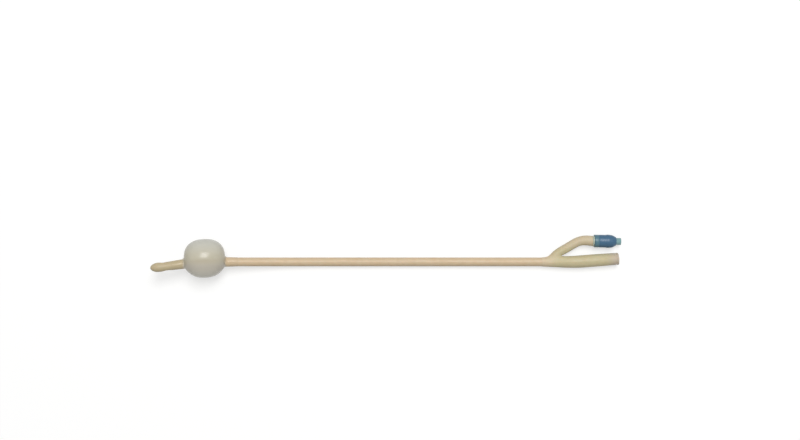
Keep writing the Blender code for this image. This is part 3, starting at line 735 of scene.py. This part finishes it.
def mix_in(shader, share, tone):
    """Mix another tone into a shader's base colour."""
    base = shader.inputs["Base Color"].links[0].from_socket
    blend = {0: share, 6: base, 7: rgba(tone)}
    mixed = add_node(shader.id_data, "ShaderNodeMix", blend, data_type="RGBA")
    set_inputs(shader, {"Base Color": mixed.outputs[2]})


def blend_along(shader, tone, start, end, axis="X"):
    """Turn a base colour into another tone on the way from one place on an axis to another."""
    tree = shader.id_data
    ends = {"Value": split_axes(tree)[axis], "From Min": start, "From Max": end}
    share = add_node(tree, "ShaderNodeMapRange", ends, interpolation_type="SMOOTHSTEP")
    mix_in(shader, share, tone)


def dress(shader, share, tones, sheen, relief, plain):
    """Give a shader two mixed tones, an uneven sheen, a fine relief and its plain values."""
    tree = shader.id_data
    blend = {0: share, 6: rgba(tones[0]), 7: rgba(tones[1])}
    mixed = add_node(tree, "ShaderNodeMix", blend, data_type="RGBA")
    uneven = add_node(tree, "ShaderNodeMapRange", sheen)
    bump = add_node(tree, "ShaderNodeBump", relief)
    set_inputs(shader, {"Base Color": mixed.outputs[2], "Roughness": uneven, "Normal": bump, **plain})


def latex_surface(material_name, tone, deep_tone, cloud_mm, streak_mm, rough, rough_range, bump_mm):
    """Shared surface of natural latex: cloudy colour, faint lengthwise streaks and an uneven sheen."""
    material, tree, shader = new_material(material_name)
    noises = []
    for stretch, size_mm, detail, fineness in (
        ((1.0, 1.0, 1.0), cloud_mm, 3.0, 0.55),
        ((0.04, 1.0, 1.0), streak_mm, 2.0, 0.5),
        ((1.0, 1.0, 1.0), 0.5, 2.0, 0.5),
    ):
        point = object_point(tree, stretch)
        inputs = {"Vector": point, "Scale": 1 / (size_mm * MM), "Detail": detail, "Roughness": fineness}
        noises.append(add_node(tree, "ShaderNodeTexNoise", inputs))
    clouds, streaks, grain = noises
    amount = add_node(tree, "ShaderNodeMath", {0: clouds, 1: streaks}, operation="MULTIPLY")
    spread = add_node(tree, "ShaderNodeMapRange", {"Value": amount, "From Min": 0.02, "From Max": 0.56})
    height = add_node(tree, "ShaderNodeMath", {0: streaks, 1: grain}, operation="ADD")
    ends = {"To Min": rough - rough_range, "To Max": rough + rough_range}
    plain = {
        "IOR": 1.52,
        "Specular IOR Level": 0.3,
        "Subsurface Weight": 0.15,
        "Subsurface Radius": (1.0, 0.6, 0.35),
        "Subsurface Scale": 1.5 * MM,
    }
    dress(
        shader, spread, (tone, deep_tone),
        sheen={"Value": clouds, "From Min": 0.3, "From Max": 0.7, **ends},
        relief={"Height": height, "Distance": bump_mm * MM, "Strength": 0.4},
        plain=plain,
    )
    return material, shader


def coated_latex():
    """Dipped natural latex with a thin silicone coat: creamy, slightly cloudy, with a soft satin sheen."""
    look = settings("shaft")
    material, shader = latex_surface(
        "coated_latex", look.tone, look.deep_tone,
        cloud_mm=5.0, streak_mm=0.9, rough=0.4, rough_range=0.06, bump_mm=0.03,
    )
    # darker tone along X on the tube beyond the balloon
    blend_along(shader, look.tip_tone, start=BALLOON_X - 10 * MM, end=BALLOON_X - 20 * MM)
    return material


def moulded_latex():
    """Latex moulded over the tube's end: yellower and duller, paler where the wall thins to the mouth."""
    look = settings("moulding")
    material, shader = latex_surface(
        "moulded_latex", look.tone, look.deep_tone,
        cloud_mm=4.0, streak_mm=1.6, rough=0.5, rough_range=0.07, bump_mm=0.05,
    )
    blend_along(shader, look.mouth_tone, start=NECK_X + 56 * MM, end=NECK_X + 68 * MM)
    blend_along(shader, look.arm_tone, start=AXIS_Y + 10 * MM, end=AXIS_Y + 17 * MM, axis="Y")
    blend_along(shader, settings("shaft").tone, start=NECK_X + 16 * MM, end=NECK_X)
    return material


def show_tube(shader, tone):
    """Let the tube inside the balloon show through its skin as a faint band, from above and the side."""
    tree = shader.id_data
    place, facing = split_axes(tree), split_axes(tree, "Normal")
    start = shaft_point(BALLOON_X - BALLOON_HALF)
    end = shaft_point(BALLOON_X + BALLOON_HALF)
    bands = []
    for axis, across in ((1, facing["Z"]), (2, facing["Y"])):
        slope = (end[axis] - start[axis]) / (end.x - start.x)
        terms = {0: place["X"], 1: slope, 2: start[axis] - slope * start.x}
        line = add_node(tree, "ShaderNodeMath", terms, operation="MULTIPLY_ADD")
        off = add_node(tree, "ShaderNodeMath", {0: place["XYZ"[axis]], 1: line}, operation="SUBTRACT")
        away = add_node(tree, "ShaderNodeMath", {0: off}, operation="ABSOLUTE")
        ends = {"Value": away, "From Min": BAND_START * SHAFT_R, "From Max": BAND_FULL * SHAFT_R}
        band = add_node(tree, "ShaderNodeMapRange", ends, interpolation_type="SMOOTHSTEP")
        square_on = add_node(tree, "ShaderNodeMath", {0: across, 1: across}, operation="MULTIPLY")
        bands.append(add_node(tree, "ShaderNodeMath", {0: band, 1: square_on}, operation="MULTIPLY"))
    both = add_node(tree, "ShaderNodeMath", {0: bands[0], 1: bands[1]}, operation="MAXIMUM")
    faint = add_node(tree, "ShaderNodeMath", {0: both, 1: BAND_STRENGTH}, operation="MULTIPLY")
    mix_in(shader, faint, tone)


def balloon_latex():
    """Thin latex stretched over water: greyer and glossier, the tube shows through as a warm band, and
    light and shade are painted across it.
    """
    look = settings("balloon")
    material, shader = latex_surface(
        "balloon_latex", look.tone, look.cloud_tone,
        cloud_mm=9.0, streak_mm=6.0, rough=0.22, rough_range=0.03, bump_mm=0.01,
    )
    show_tube(shader, look.band_tone)
    side = AXIS_Y + BALLOON_LEAN
    painted_shade_start = side - PAINTED_SHADE_START * BALLOON_R
    painted_light_start = side - PAINTED_LIGHT_START * BALLOON_R
    # Painted light and shade across Y: a paler, greyer side turned to the lamp, painted shade just below
    # the highlight and painted light on the near side.
    blend_along(shader, look.far_side_painted_light, side, side + BALLOON_R, "Y")
    blend_along(shader, look.painted_shade_below_highlight, painted_shade_start, painted_light_start, "Y")
    blend_along(shader, look.near_side_painted_light, painted_light_start, side - BALLOON_R, "Y")
    latex = settings("shaft")
    middle = float(np.interp(BALLOON_MIDDLE, RUN_ALONG, RUN_X))
    end = BALLOON_HALF + 0.7 * MM
    plain = [(a + b) / 2 for a, b in zip(latex.tone, latex.deep_tone)]
    blend_along(shader, latex.tip_tone, start=middle - BALLOON_HALF + 2 * MM, end=middle - end)
    blend_along(shader, plain, start=middle + BALLOON_HALF - 0.4 * MM, end=middle + end)
    finish = {
        "Specular IOR Level": 0.25,
        "Subsurface Weight": 0.1,
        "Subsurface Radius": (1.0, 1.0, 1.0),
        "Subsurface Scale": 1.0 * MM,
    }
    set_inputs(shader, finish)
    return material


def moulded_plastic(name, tone, rough, grain_mm, bump_mm):
    """Injection-moulded plastic: even colour with a little depth and a fine satin grain."""
    material, tree, shader = new_material(name)
    noises = []
    for size_mm, detail in ((2.5, 2.0), (grain_mm, 3.0)):
        inputs = {"Vector": object_point(tree), "Scale": 1 / (size_mm * MM), "Detail": detail}
        noises.append(add_node(tree, "ShaderNodeTexNoise", inputs))
    clouds, grain = noises
    dress(
        shader, clouds, (tone, [channel * PLASTIC_DEPTH for channel in tone]),
        sheen={"Value": grain, "To Min": rough - PLASTIC_SHEEN, "To Max": rough + PLASTIC_SHEEN},
        relief={"Height": grain, "Distance": bump_mm * MM, "Strength": 0.5},
        plain={"IOR": 1.49},
    )
    return material


def drawn_steel():
    """Drawn stainless spring wire: bright, with fine lengthwise die marks that break up its shine."""
    material, tree, shader = new_material("spring_steel")
    marks = add_node(
        tree,
        "ShaderNodeTexNoise",
        {"Vector": object_point(tree, (1.0, 6.0, 6.0)), "Scale": 1 / (0.6 * MM), "Detail": 2.0},
    )
    sheen = add_node(tree, "ShaderNodeMapRange", {"Value": marks, "To Min": 0.2, "To Max": 0.38})
    finish = {"Base Color": rgba(settings("valve").spring_tone), "Metallic": 1.0, "Roughness": sheen}
    set_inputs(shader, finish)
    return material


class CATHETER_OT_shaft(bpy.types.Operator):
    """Sweep the tube along its line and cut its lumens and eyes"""

    bl_idname = "catheter.shaft"
    bl_label = "Shaft"

    def execute(self, context):
        look = settings("shaft")
        places = shaft_places(look.ring_spacing)
        points = [shaft_point(float(np.interp(place, RUN_ALONG, RUN_X))) for place in places]
        material = coated_latex()
        tube = swept("shaft_tube", points, [shaft_radius(place) for place in places], look.sides, material)
        end = NECK_X + SHAFT_INSERT
        skive = NECK_X + SKIVE_X
        ends = (BALLOON_MIDDLE - INFLATION_TIP_SIDE, skive + INFLATION_DRAIN_SIDE)
        tools = [
            lumen("drain", DRAIN_OFFSET, DRAIN_R, TIP_PLACE + DRAIN_START, end + CUT_OVERRUN, DRAIN_SIDES),
            lumen("inflation", INFLATION_OFFSET, INFLATION_R, *ends, INFLATION_SIDES),
            port_cutter("balloon_port", BALLOON_MIDDLE, PORT_R),
            port_cutter("skived_port", skive, ARM_BORE_R),
        ]
        tools += [eye_cutter(name, place, side) for name, place, side in EYES]
        combine(tube, tools)
        shade(tube, material)
        place_piece(tube, "shaft")
        path = [shaft_point(x) for x in np.linspace(end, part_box("shaft")[0].x, CORD_POINTS)]
        shaft_point(NECK_X)
        return {"FINISHED"}


def rest_on_surface(height, floor):
    """Height of a point of the skin once the skin has settled on the surface."""
    above = height - floor
    if above > BALLOON_REST:
        return height
    if above < -BALLOON_REST:
        return floor
    return floor + (above + BALLOON_REST) ** 2 / (4 * BALLOON_REST)


def balloon_section(rings):
    """Section of the balloon's skin: its outside from the tip's cuff to the other, and back inside."""
    power = 2 / BALLOON_FULLNESS
    inner_half, inner_r = BALLOON_HALF - BALLOON_WALL, BALLOON_R - BALLOON_WALL
    outside, inside = [], []
    for k in range(rings + 1):
        angle = math.radians(BALLOON_POLE + (180 - 2 * BALLOON_POLE) * k / rings)
        across = -math.copysign(abs(math.cos(angle)) ** power, math.cos(angle))
        swell = math.sin(angle) ** power
        if BALLOON_R * swell > CUFF_R + CUFF_STEP:
            outside.append((BALLOON_MIDDLE + BALLOON_HALF * across, BALLOON_R * swell))
            inside.append((BALLOON_MIDDLE + inner_half * across, inner_r * swell))
    start, first = SEAT_START - SEAT_STEP, BALLOON_MIDDLE - BALLOON_HALF
    end, last = SEAT_END + SEAT_STEP, BALLOON_MIDDLE + BALLOON_HALF
    thick = CUFF_R - SHAFT_R - CUFF_FEATHER
    tip_cuff, drain_cuff = [], []
    for share in shares(CUFF_RINGS)[:-1]:
        radius = SHAFT_R + CUFF_FEATHER + thick * share * (2 - share)
        tip_cuff.append((start + (first - start) * share, radius))
        drain_cuff.append((end + (last - end) * share, radius))
    inner = SEAT_R + CUFF_FEATHER
    section = tip_cuff + outside + drain_cuff[::-1]
    section += [(place, inner) for place, radius in drain_cuff[1:]]
    section += inside[::-1]
    return section + [(place, inner) for place, radius in tip_cuff[:0:-1]]


class CATHETER_OT_balloon(bpy.types.Operator):
    """Spin the balloon's skin, lean it to the side it fills more and lay it on the surface"""

    bl_idname = "catheter.balloon"
    bl_label = "Balloon"

    def execute(self, context):
        look = settings("balloon")
        skin = spun("balloon_skin", balloon_section(look.rings), look.sides, closed=True)
        move_points(skin, lambda p: Vector((p.z, p.y, -p.x)))

        def lean(point):
            bulge = max(math.hypot(point.y, point.z) - CUFF_R, 0)
            return point + Vector((0, BALLOON_LEAN * math.tanh(bulge / BALLOON_LEAN), 0))

        # the inner side comes to rest one wall's thickness higher than the outer one
        normals = [vertex.normal.copy() for vertex in skin.data.vertices]
        inner = [(v.co - Vector((v.co.x, 0, 0))).dot(n) < 0 for v, n in zip(skin.data.vertices, normals)]
        move_points(skin, lambda p: on_shaft(lean(p)))
        for vertex, is_inner in zip(skin.data.vertices, inner):
            floor = BALLOON_WALL if is_inner else 0.0
            vertex.co.z = rest_on_surface(vertex.co.z, floor)
        tidy_mesh(skin.data)
        shade(skin, balloon_latex(), 50.0)
        place_piece(skin, "balloon")
        return {"FINISHED"}


def moulding_height(x):
    return NECK_Z + FUNNEL_SLOPE * x


def arm_height(x):
    """Height of the arm's axis, which levels out to lay the valve on the surface."""
    share = min(max((x - ARM_LEVEL_START) / (ARM_LEVEL_END - ARM_LEVEL_START), 0), 1)
    share = share * share * (3 - 2 * share)
    return (1 - share) * moulding_height(x) + share * VALVE_Z


def moulding_point(x, y, height):
    return Vector((NECK_X + x, AXIS_Y + y, height))


def cage_ring(ring, height):
    """Eight corners round a ring's middle, from the left over the top, that smooth to its radii."""
    x, y, heading, radius, *upright = ring
    angle = math.radians(heading)
    left = CAGE_SWELL * (radius * MM) * Vector((-math.sin(angle), math.cos(angle), 0))
    up = CAGE_SWELL * ((upright or [radius])[0] * MM) * Vector((0, 0, 1))
    middle = moulding_point(x * MM, y * MM, height(x * MM))
    turns = [math.radians(45 * k) for k in range(8)]
    return [middle + math.cos(t) * left + math.sin(t) * up for t in turns]


def bridge(bm, near, far, left_out=()):
    """Faces between two rings of the cage, apart from those left out."""
    for k in range(8):
        if k not in left_out:
            bm.faces.new((near[k], far[k], far[(k + 1) % 8], near[(k + 1) % 8]))


def make_branch_cage(name):
    """Coarse cage of the funnel with an arm growing out of its left side, open at its three ends."""
    bm = bmesh.new()
    funnel, arm = (
        [[bm.verts.new(corner) for corner in cage_ring(ring, height)] for ring in rings]
        for rings, height in ((FUNNEL_RINGS, moulding_height), (ARM_RINGS, arm_height))
    )
    first = FIRST_BRANCH_RING
    a, b, c = funnel[first : first + 3]
    root = [a[0], a[1], b[1], c[1], c[0], c[7], b[7], a[7]]
    for i, (near, far) in enumerate(zip(funnel, funnel[1:])):
        bridge(bm, near, far, left_out=(0, 7) if i in (first, first + 1) else ())
    for near, far in zip([root, *arm], arm):
        bridge(bm, near, far)
    bm.verts.remove(b[0])
    bmesh.ops.recalc_face_normals(bm, faces=bm.faces)
    return object_from(bm, name)


def valve_frame():
    """Frame whose Z runs outwards along the valve and whose X points down."""
    angle = math.radians(VALVE_HEADING)
    down = Vector((0, 0, -1))
    outwards = Vector((math.cos(angle), math.sin(angle), 0))
    return frame_at(moulding_point(VALVE_X, VALVE_Y, VALVE_Z), down, outwards.cross(down), outwards)


def passage_cutter(name, bore, places, height, sides):
    """Cutter for a passage of the moulding, smooth along rows of x, y and radius."""
    points = [moulding_point(x, smooth_value(bore, x), height(x)) for x in places]
    return swept(name, points, [smooth_value(bore, x, 2) for x in places], sides)


class CATHETER_OT_moulding(bpy.types.Operator):
    """Smooth the branch moulding's cage and cut its socket, funnel, arm passage and tail bore"""

    bl_idname = "catheter.moulding"
    bl_label = "Branch moulding"

    def execute(self, context):
        look = settings("moulding")
        moulding = make_branch_cage("branch_moulding")
        modified(moulding, "SUBSURF", levels=look.smoothing, render_levels=look.smoothing)
        socket = spun("socket", rod(-CUT_OVERRUN, SHAFT_INSERT + GAP, SOCKET_R), BORE_SIDES)
        lie_along_x = Matrix(((0, 0, 1), (0, 1, 0), (-1, 0, 0))).to_4x4()
        socket.data.transform(shaft_frame(NECK_X) @ lie_along_x)
        places = [*np.linspace(DRAIN_BORE[0][0], DRAIN_BORE[-2][0], BORE_POINTS), DRAIN_BORE[-1][0]]
        funnel = passage_cutter("funnel", DRAIN_BORE, places, moulding_height, BORE_SIDES)
        places = np.linspace(ARM_BORE[0][0], ARM_BORE[-1][0], BORE_POINTS)
        bore = [(x, y, ARM_BORE_R) for x, y in ARM_BORE]
        passage = passage_cutter("arm_passage", bore, places, arm_height, PASSAGE_SIDES)
        start = -TAIL_BORE_DEPTH
        profile = [(start - TAIL_BORE_POINT, 0), (start, TAIL_BORE_R), (CUT_OVERRUN, TAIL_BORE_R)]
        tail = spun("tail_bore", [*profile, (CUT_OVERRUN, 0)], BORE_SIDES)
        tail.data.transform(valve_frame())
        combine(moulding, [socket, funnel, passage, tail])
        shade(moulding, moulded_latex(), 50.0)
        place_piece(moulding, "bifurcation")
        return {"FINISHED"}


def round_edges(obj, angle=30.0):
    """Round the edges that turn by more than an angle."""
    width = settings("valve").edge
    turn = math.radians(angle)
    return modified(obj, "BEVEL", width=width, segments=2, limit_method="ANGLE", angle_limit=turn)


def turned_piece(name, section, material, angle=30.0):
    """Ring-shaped piece on the valve's axis with its edges rounded."""
    piece = spun(name, section, settings("valve").sides, closed=True)
    piece.data.transform(valve_frame())
    round_edges(piece, angle)
    shade(piece, material)
    return piece


def plug_section():
    """Barbed tail, collar and plug, which hold the valve in the arm."""
    section = [(-TAIL_LENGTH, TAIL_BORE), (-TAIL_LENGTH, TAIL_R - TAIL_CHAMFER)]
    for k in range(TAIL_BARBS):
        start = -TAIL_LENGTH + FIRST_BARB + k * BARB_PITCH
        section += [
            (start, TAIL_R),
            (start + BARB_LENGTH, BARB_R),
            (start + BARB_LENGTH + BARB_BACK, TAIL_R),
        ]
    return section + [
        (COLLAR_START, TAIL_R),
        (COLLAR_START, COLLAR_R),
        (COLLAR_END, COLLAR_R),
        (COLLAR_END, PLUG_R),
        (PLUG_END, PLUG_R),
        (PLUG_END, TAIL_BORE),
    ]


def seal_section():
    base = FLANGE_END + GAP
    return [
        (base, SEAL_BORE_R),
        (base, SEAL_R),
        (base + SEAL_BAND, SEAL_R),
        (base + SEAL_ROUND, SEAL_R - SEAL_EDGE),
        (base + SEAL_THICK, SEAL_FRONT_R),
        (base + SEAL_THICK, SEAL_BORE_R),
    ]


def make_stem(name, material):
    """Pin with the flange that takes the spring and four guide fins behind it."""
    outline = [
        (FIN_START, 0.0),
        (FIN_START, STEM_R),
        (FLANGE_START, STEM_R),
        (FLANGE_START, FLANGE_R),
        (FLANGE_END, FLANGE_R),
        (FLANGE_END, STEM_R),
        (STEM_TIP - STEM_CHAMFER, STEM_R),
        (STEM_TIP, STEM_R / 2),
        (STEM_TIP, 0.0),
    ]
    stem = round_edges(spun(name, outline, settings("valve").sides))
    length = FLANGE_START - FIN_START
    middle = FIN_START + FIN_OVERLAP + length / 2
    fins = []
    for width, height in ((2 * FIN_REACH, FIN_THICK), (FIN_THICK, 2 * FIN_REACH)):
        bm = bmesh.new()
        bmesh.ops.create_cube(bm, size=1.0)
        bmesh.ops.scale(bm, vec=(width, height, length), verts=bm.verts)
        bmesh.ops.translate(bm, vec=(0.0, 0.0, middle), verts=bm.verts)
        fins.append(round_edges(object_from(bm, "fins")))
    combine(stem, fins, "UNION")
    stem.data.transform(valve_frame())
    shade(stem, material)
    return stem


def housing_section():
    luer_end = NOZZLE_END - LUER_DEPTH
    return [
        (HOUSING_START, CHAMBER_R),
        (HOUSING_START, HOUSING_R),
        (SHOULDER_START, HOUSING_R),
        (SHOULDER_END, NOZZLE_R),
        (NOZZLE_END, NOZZLE_R),
        (NOZZLE_END, LUER_MOUTH_R),
        (luer_end, LUER_MOUTH_R - LUER_TAPER * LUER_DEPTH),
        (luer_end - THROAT_CONE, THROAT_R),
        (SEAT_CONE_END, THROAT_R),
        (SEAT_CONE_START, SEAL_R),
        (CHAMBER_END, CHAMBER_R),
    ]


def sleeve_section():
    """Sleeve with a shallow groove, a low rounded ring and a shoulder that curves in to the nozzle."""
    section = [(HOUSING_START, SLEEVE_BORE_R), (HOUSING_START, SLEEVE_R)]
    for share in shares(GROOVE_STEPS):
        depth = SLEEVE_GROOVE_DEPTH * (1 - math.cos(math.tau * share)) / 2
        section.append((SLEEVE_GROOVE + SLEEVE_GROOVE_WIDTH * (share - 0.5), SLEEVE_R - depth))
    section.append((SLEEVE_RING_START, SLEEVE_R))
    for share in shares(RING_STEPS)[1:-1]:
        along = SLEEVE_RING_START + (SLEEVE_RING_END - SLEEVE_RING_START) * share
        section.append((along, SLEEVE_R + (SLEEVE_RING_R - SLEEVE_R) * math.sin(math.pi * share)))
    for share in shares(RING_STEPS):
        along = SLEEVE_SHOULDER + (SLEEVE_END - SLEEVE_SHOULDER) * share
        section.append((along, SLEEVE_R + (SLEEVE_LIP_R - SLEEVE_R) * share**SHOULDER_CURVE))
    return section + [
        (SLEEVE_END, NOZZLE_R + SLEEVE_FIT),
        (SHOULDER_END + GAP, NOZZLE_R + SLEEVE_FIT),
        (SHOULDER_START + GAP / 2, SLEEVE_BORE_R),
    ]


class CATHETER_OT_valve_body(bpy.types.Operator):
    """Turn the inflation valve's body, its colour sleeve and the plug with the collar"""

    bl_idname = "catheter.valve_body"
    bl_label = "Valve body and sleeve"

    def execute(self, context):
        look = settings("valve")
        body = moulded_plastic("teal_plastic", look.body_tone, rough=0.32, grain_mm=0.35, bump_mm=0.01)
        blue = moulded_plastic(
            "blue_sleeve_plastic", look.sleeve_tone, rough=0.38, grain_mm=0.3, bump_mm=0.02
        )
        pale = moulded_plastic("pale_plastic", look.collar_tone, rough=0.4, grain_mm=0.4, bump_mm=0.01)
        arm_end = NECK_X + VALVE_X
        shader = blue.node_tree.nodes["Principled BSDF"]
        blend_along(shader, look.sleeve_end_tone, start=arm_end + 6.5 * MM, end=arm_end + 4.5 * MM)
        housing = turned_piece("valve_body", housing_section(), body)
        place_piece(housing, "valve_housing")
        sleeve = turned_piece("size_sleeve", sleeve_section(), blue, 45.0)
        place_piece(sleeve, "colour_sleeve")
        plug = turned_piece("valve_plug", plug_section(), pale)
        place_piece(plug, "valve_tail")
        return {"FINISHED"}


class CATHETER_OT_valve_works(bpy.types.Operator):
    """Make the poppet, its seal and the spring that closes it"""

    bl_idname = "catheter.valve_works"
    bl_label = "Poppet, seal and spring"

    def execute(self, context):
        look = settings("valve")
        white = moulded_plastic("white_plastic", look.works_tone, rough=0.35, grain_mm=0.3, bump_mm=0.01)
        rubber = moulded_plastic("seal_rubber", look.seal_tone, rough=0.6, grain_mm=0.2, bump_mm=0.02)
        stem = make_stem("poppet_stem", white)
        place_piece(stem, "valve_stem", POPPET_BODY)
        seal = turned_piece("poppet_seal", seal_section(), rubber)
        place_piece(seal, "valve_seal", POPPET_BODY)
        placed = valve_frame()
        points = []
        for share in shares(SPRING_TURNS * SPRING_POINTS_PER_TURN):
            turn = math.tau * SPRING_TURNS * share
            eased = share - SPRING_CLOSE * math.sin(math.tau * 2 * share)
            along = SPRING_START + (SPRING_END - SPRING_START) * eased
            points.append(placed @ Vector((SPRING_R * math.cos(turn), SPRING_R * math.sin(turn), along)))
        radii = [SPRING_WIRE_R] * len(points)
        spring = swept("closing_spring", points, radii, SPRING_SIDES, drawn_steel())
        spring.data.shade_smooth()
        place_piece(spring, "valve_spring")
        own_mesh(spring)
        return {"FINISHED"}


def background_rays(tree):
    """Share of rays that show the background: straight from the camera, off a shine or through a body."""
    path = add_node(tree, "ShaderNodeLightPath").outputs
    bounced = add_node(
        tree,
        "ShaderNodeMath",
        {0: path["Is Glossy Ray"], 1: path["Is Transmission Ray"]},
        operation="MAXIMUM",
    )
    return add_node(tree, "ShaderNodeMath", {0: path["Is Camera Ray"], 1: bounced}, operation="MAXIMUM")


def surface_material():
    """White matt table: the camera sees it as pure white, apart from what lies in shadow."""
    look = settings("stage")
    material, tree, shader = new_material("white_table")
    lift = add_node(tree, "ShaderNodeMath", {0: background_rays(tree), 1: look.lift}, operation="MULTIPLY")
    finish = {
        "Base Color": rgba(look.floor_tone),
        "Roughness": 0.9,
        "Specular IOR Level": 0.0,
        "Emission Color": WHITE,
        "Emission Strength": lift,
    }
    set_inputs(shader, finish)
    return material


def room_light(strength):
    """White room: light from all sides on the catheter, and pure white wherever the room itself is seen."""
    world = bpy.data.worlds.new("white_room")
    bpy.context.scene.world = world
    world.use_nodes = True
    tree = world.node_tree
    ambient = tree.nodes["Background"]
    set_inputs(ambient, {"Color": WHITE, "Strength": strength})
    white = add_node(tree, "ShaderNodeBackground", {"Color": WHITE, "Strength": 1.0})
    shares = {0: background_rays(tree), 1: ambient, 2: white}
    mixed = add_node(tree, "ShaderNodeMixShader", shares)
    set_inputs(tree.nodes["World Output"], {"Surface": mixed})


class CATHETER_OT_stage(bpy.types.Operator):
    """Set the white surface, the softbox, the room light and the camera over them"""

    bl_idname = "catheter.stage"
    bl_label = "Stage"

    def execute(self, context):
        look = settings("stage")
        half = TABLE_HALF
        corners = [(-half, -half, 0), (half, -half, 0), (half, half, 0), (-half, half, 0)]
        table = plot("table", corners, faces=[(0, 1, 2, 3)])
        table.data.materials.append(surface_material())
        table.location.z = -TABLE_DROP
        lamp = bpy.data.lights.new("softbox", "AREA")
        lamp.shape = "RECTANGLE"
        lamp.size, lamp.size_y = SOFTBOX_SIZE
        lamp.energy = look.lamp_power
        softbox = new_object("softbox", lamp)
        softbox.location = SOFTBOX_PLACE
        softbox.rotation_euler = (-SOFTBOX_PLACE).to_track_quat("-Z", "Y").to_euler()
        room_light(look.sky)
        camera_data = bpy.data.cameras.new("camera")
        camera_data.lens = look.focal_length
        camera_data.clip_start = CAMERA_NEAR
        camera = new_object("camera", camera_data)
        camera.location = (CAMERA_X, CAMERA_Y, look.camera_height)
        context.scene.camera = camera
        context.scene.view_settings.view_transform = "Standard"
        return {"FINISHED"}


OPERATORS = (
    CATHETER_OT_stage,
    CATHETER_OT_balloon,
    CATHETER_OT_shaft,
    CATHETER_OT_moulding,
    CATHETER_OT_valve_body,
    CATHETER_OT_valve_works,
)
GROUPS = {
    "shaft": ShaftSettings,
    "balloon": BalloonSettings,
    "moulding": MouldingSettings,
    "valve": ValveSettings,
    "stage": StageSettings,
}


class VIEW3D_PT_catheter(bpy.types.Panel):
    bl_label = "Foley catheter"
    bl_space_type = "VIEW_3D"
    bl_region_type = "UI"
    bl_category = "Catheter"

    def draw(self, context):
        for operator in OPERATORS:
            self.layout.operator(operator.bl_idname)
        for name, group in GROUPS.items():
            box = self.layout.box()
            box.label(text=name.capitalize())
            for prop in group.__annotations__:
                box.prop(settings(name), prop)


def register():
    for made in (*GROUPS.values(), *OPERATORS, VIEW3D_PT_catheter):
        bpy.utils.register_class(made)
    for name, group in GROUPS.items():
        setattr(bpy.types.Scene, "catheter_" + name, bpy.props.PointerProperty(type=group))


def unregister():
    for name in GROUPS:
        delattr(bpy.types.Scene, "catheter_" + name)
    for made in reversed((*GROUPS.values(), *OPERATORS, VIEW3D_PT_catheter)):
        bpy.utils.unregister_class(made)


def main():
    register()
    bpy.ops.catheter.stage()
    bpy.ops.catheter.balloon()
    bpy.ops.catheter.shaft()
    bpy.ops.catheter.moulding()
    bpy.ops.catheter.valve_body()
    bpy.ops.catheter.valve_works()


if __name__ == "__main__":
    main()
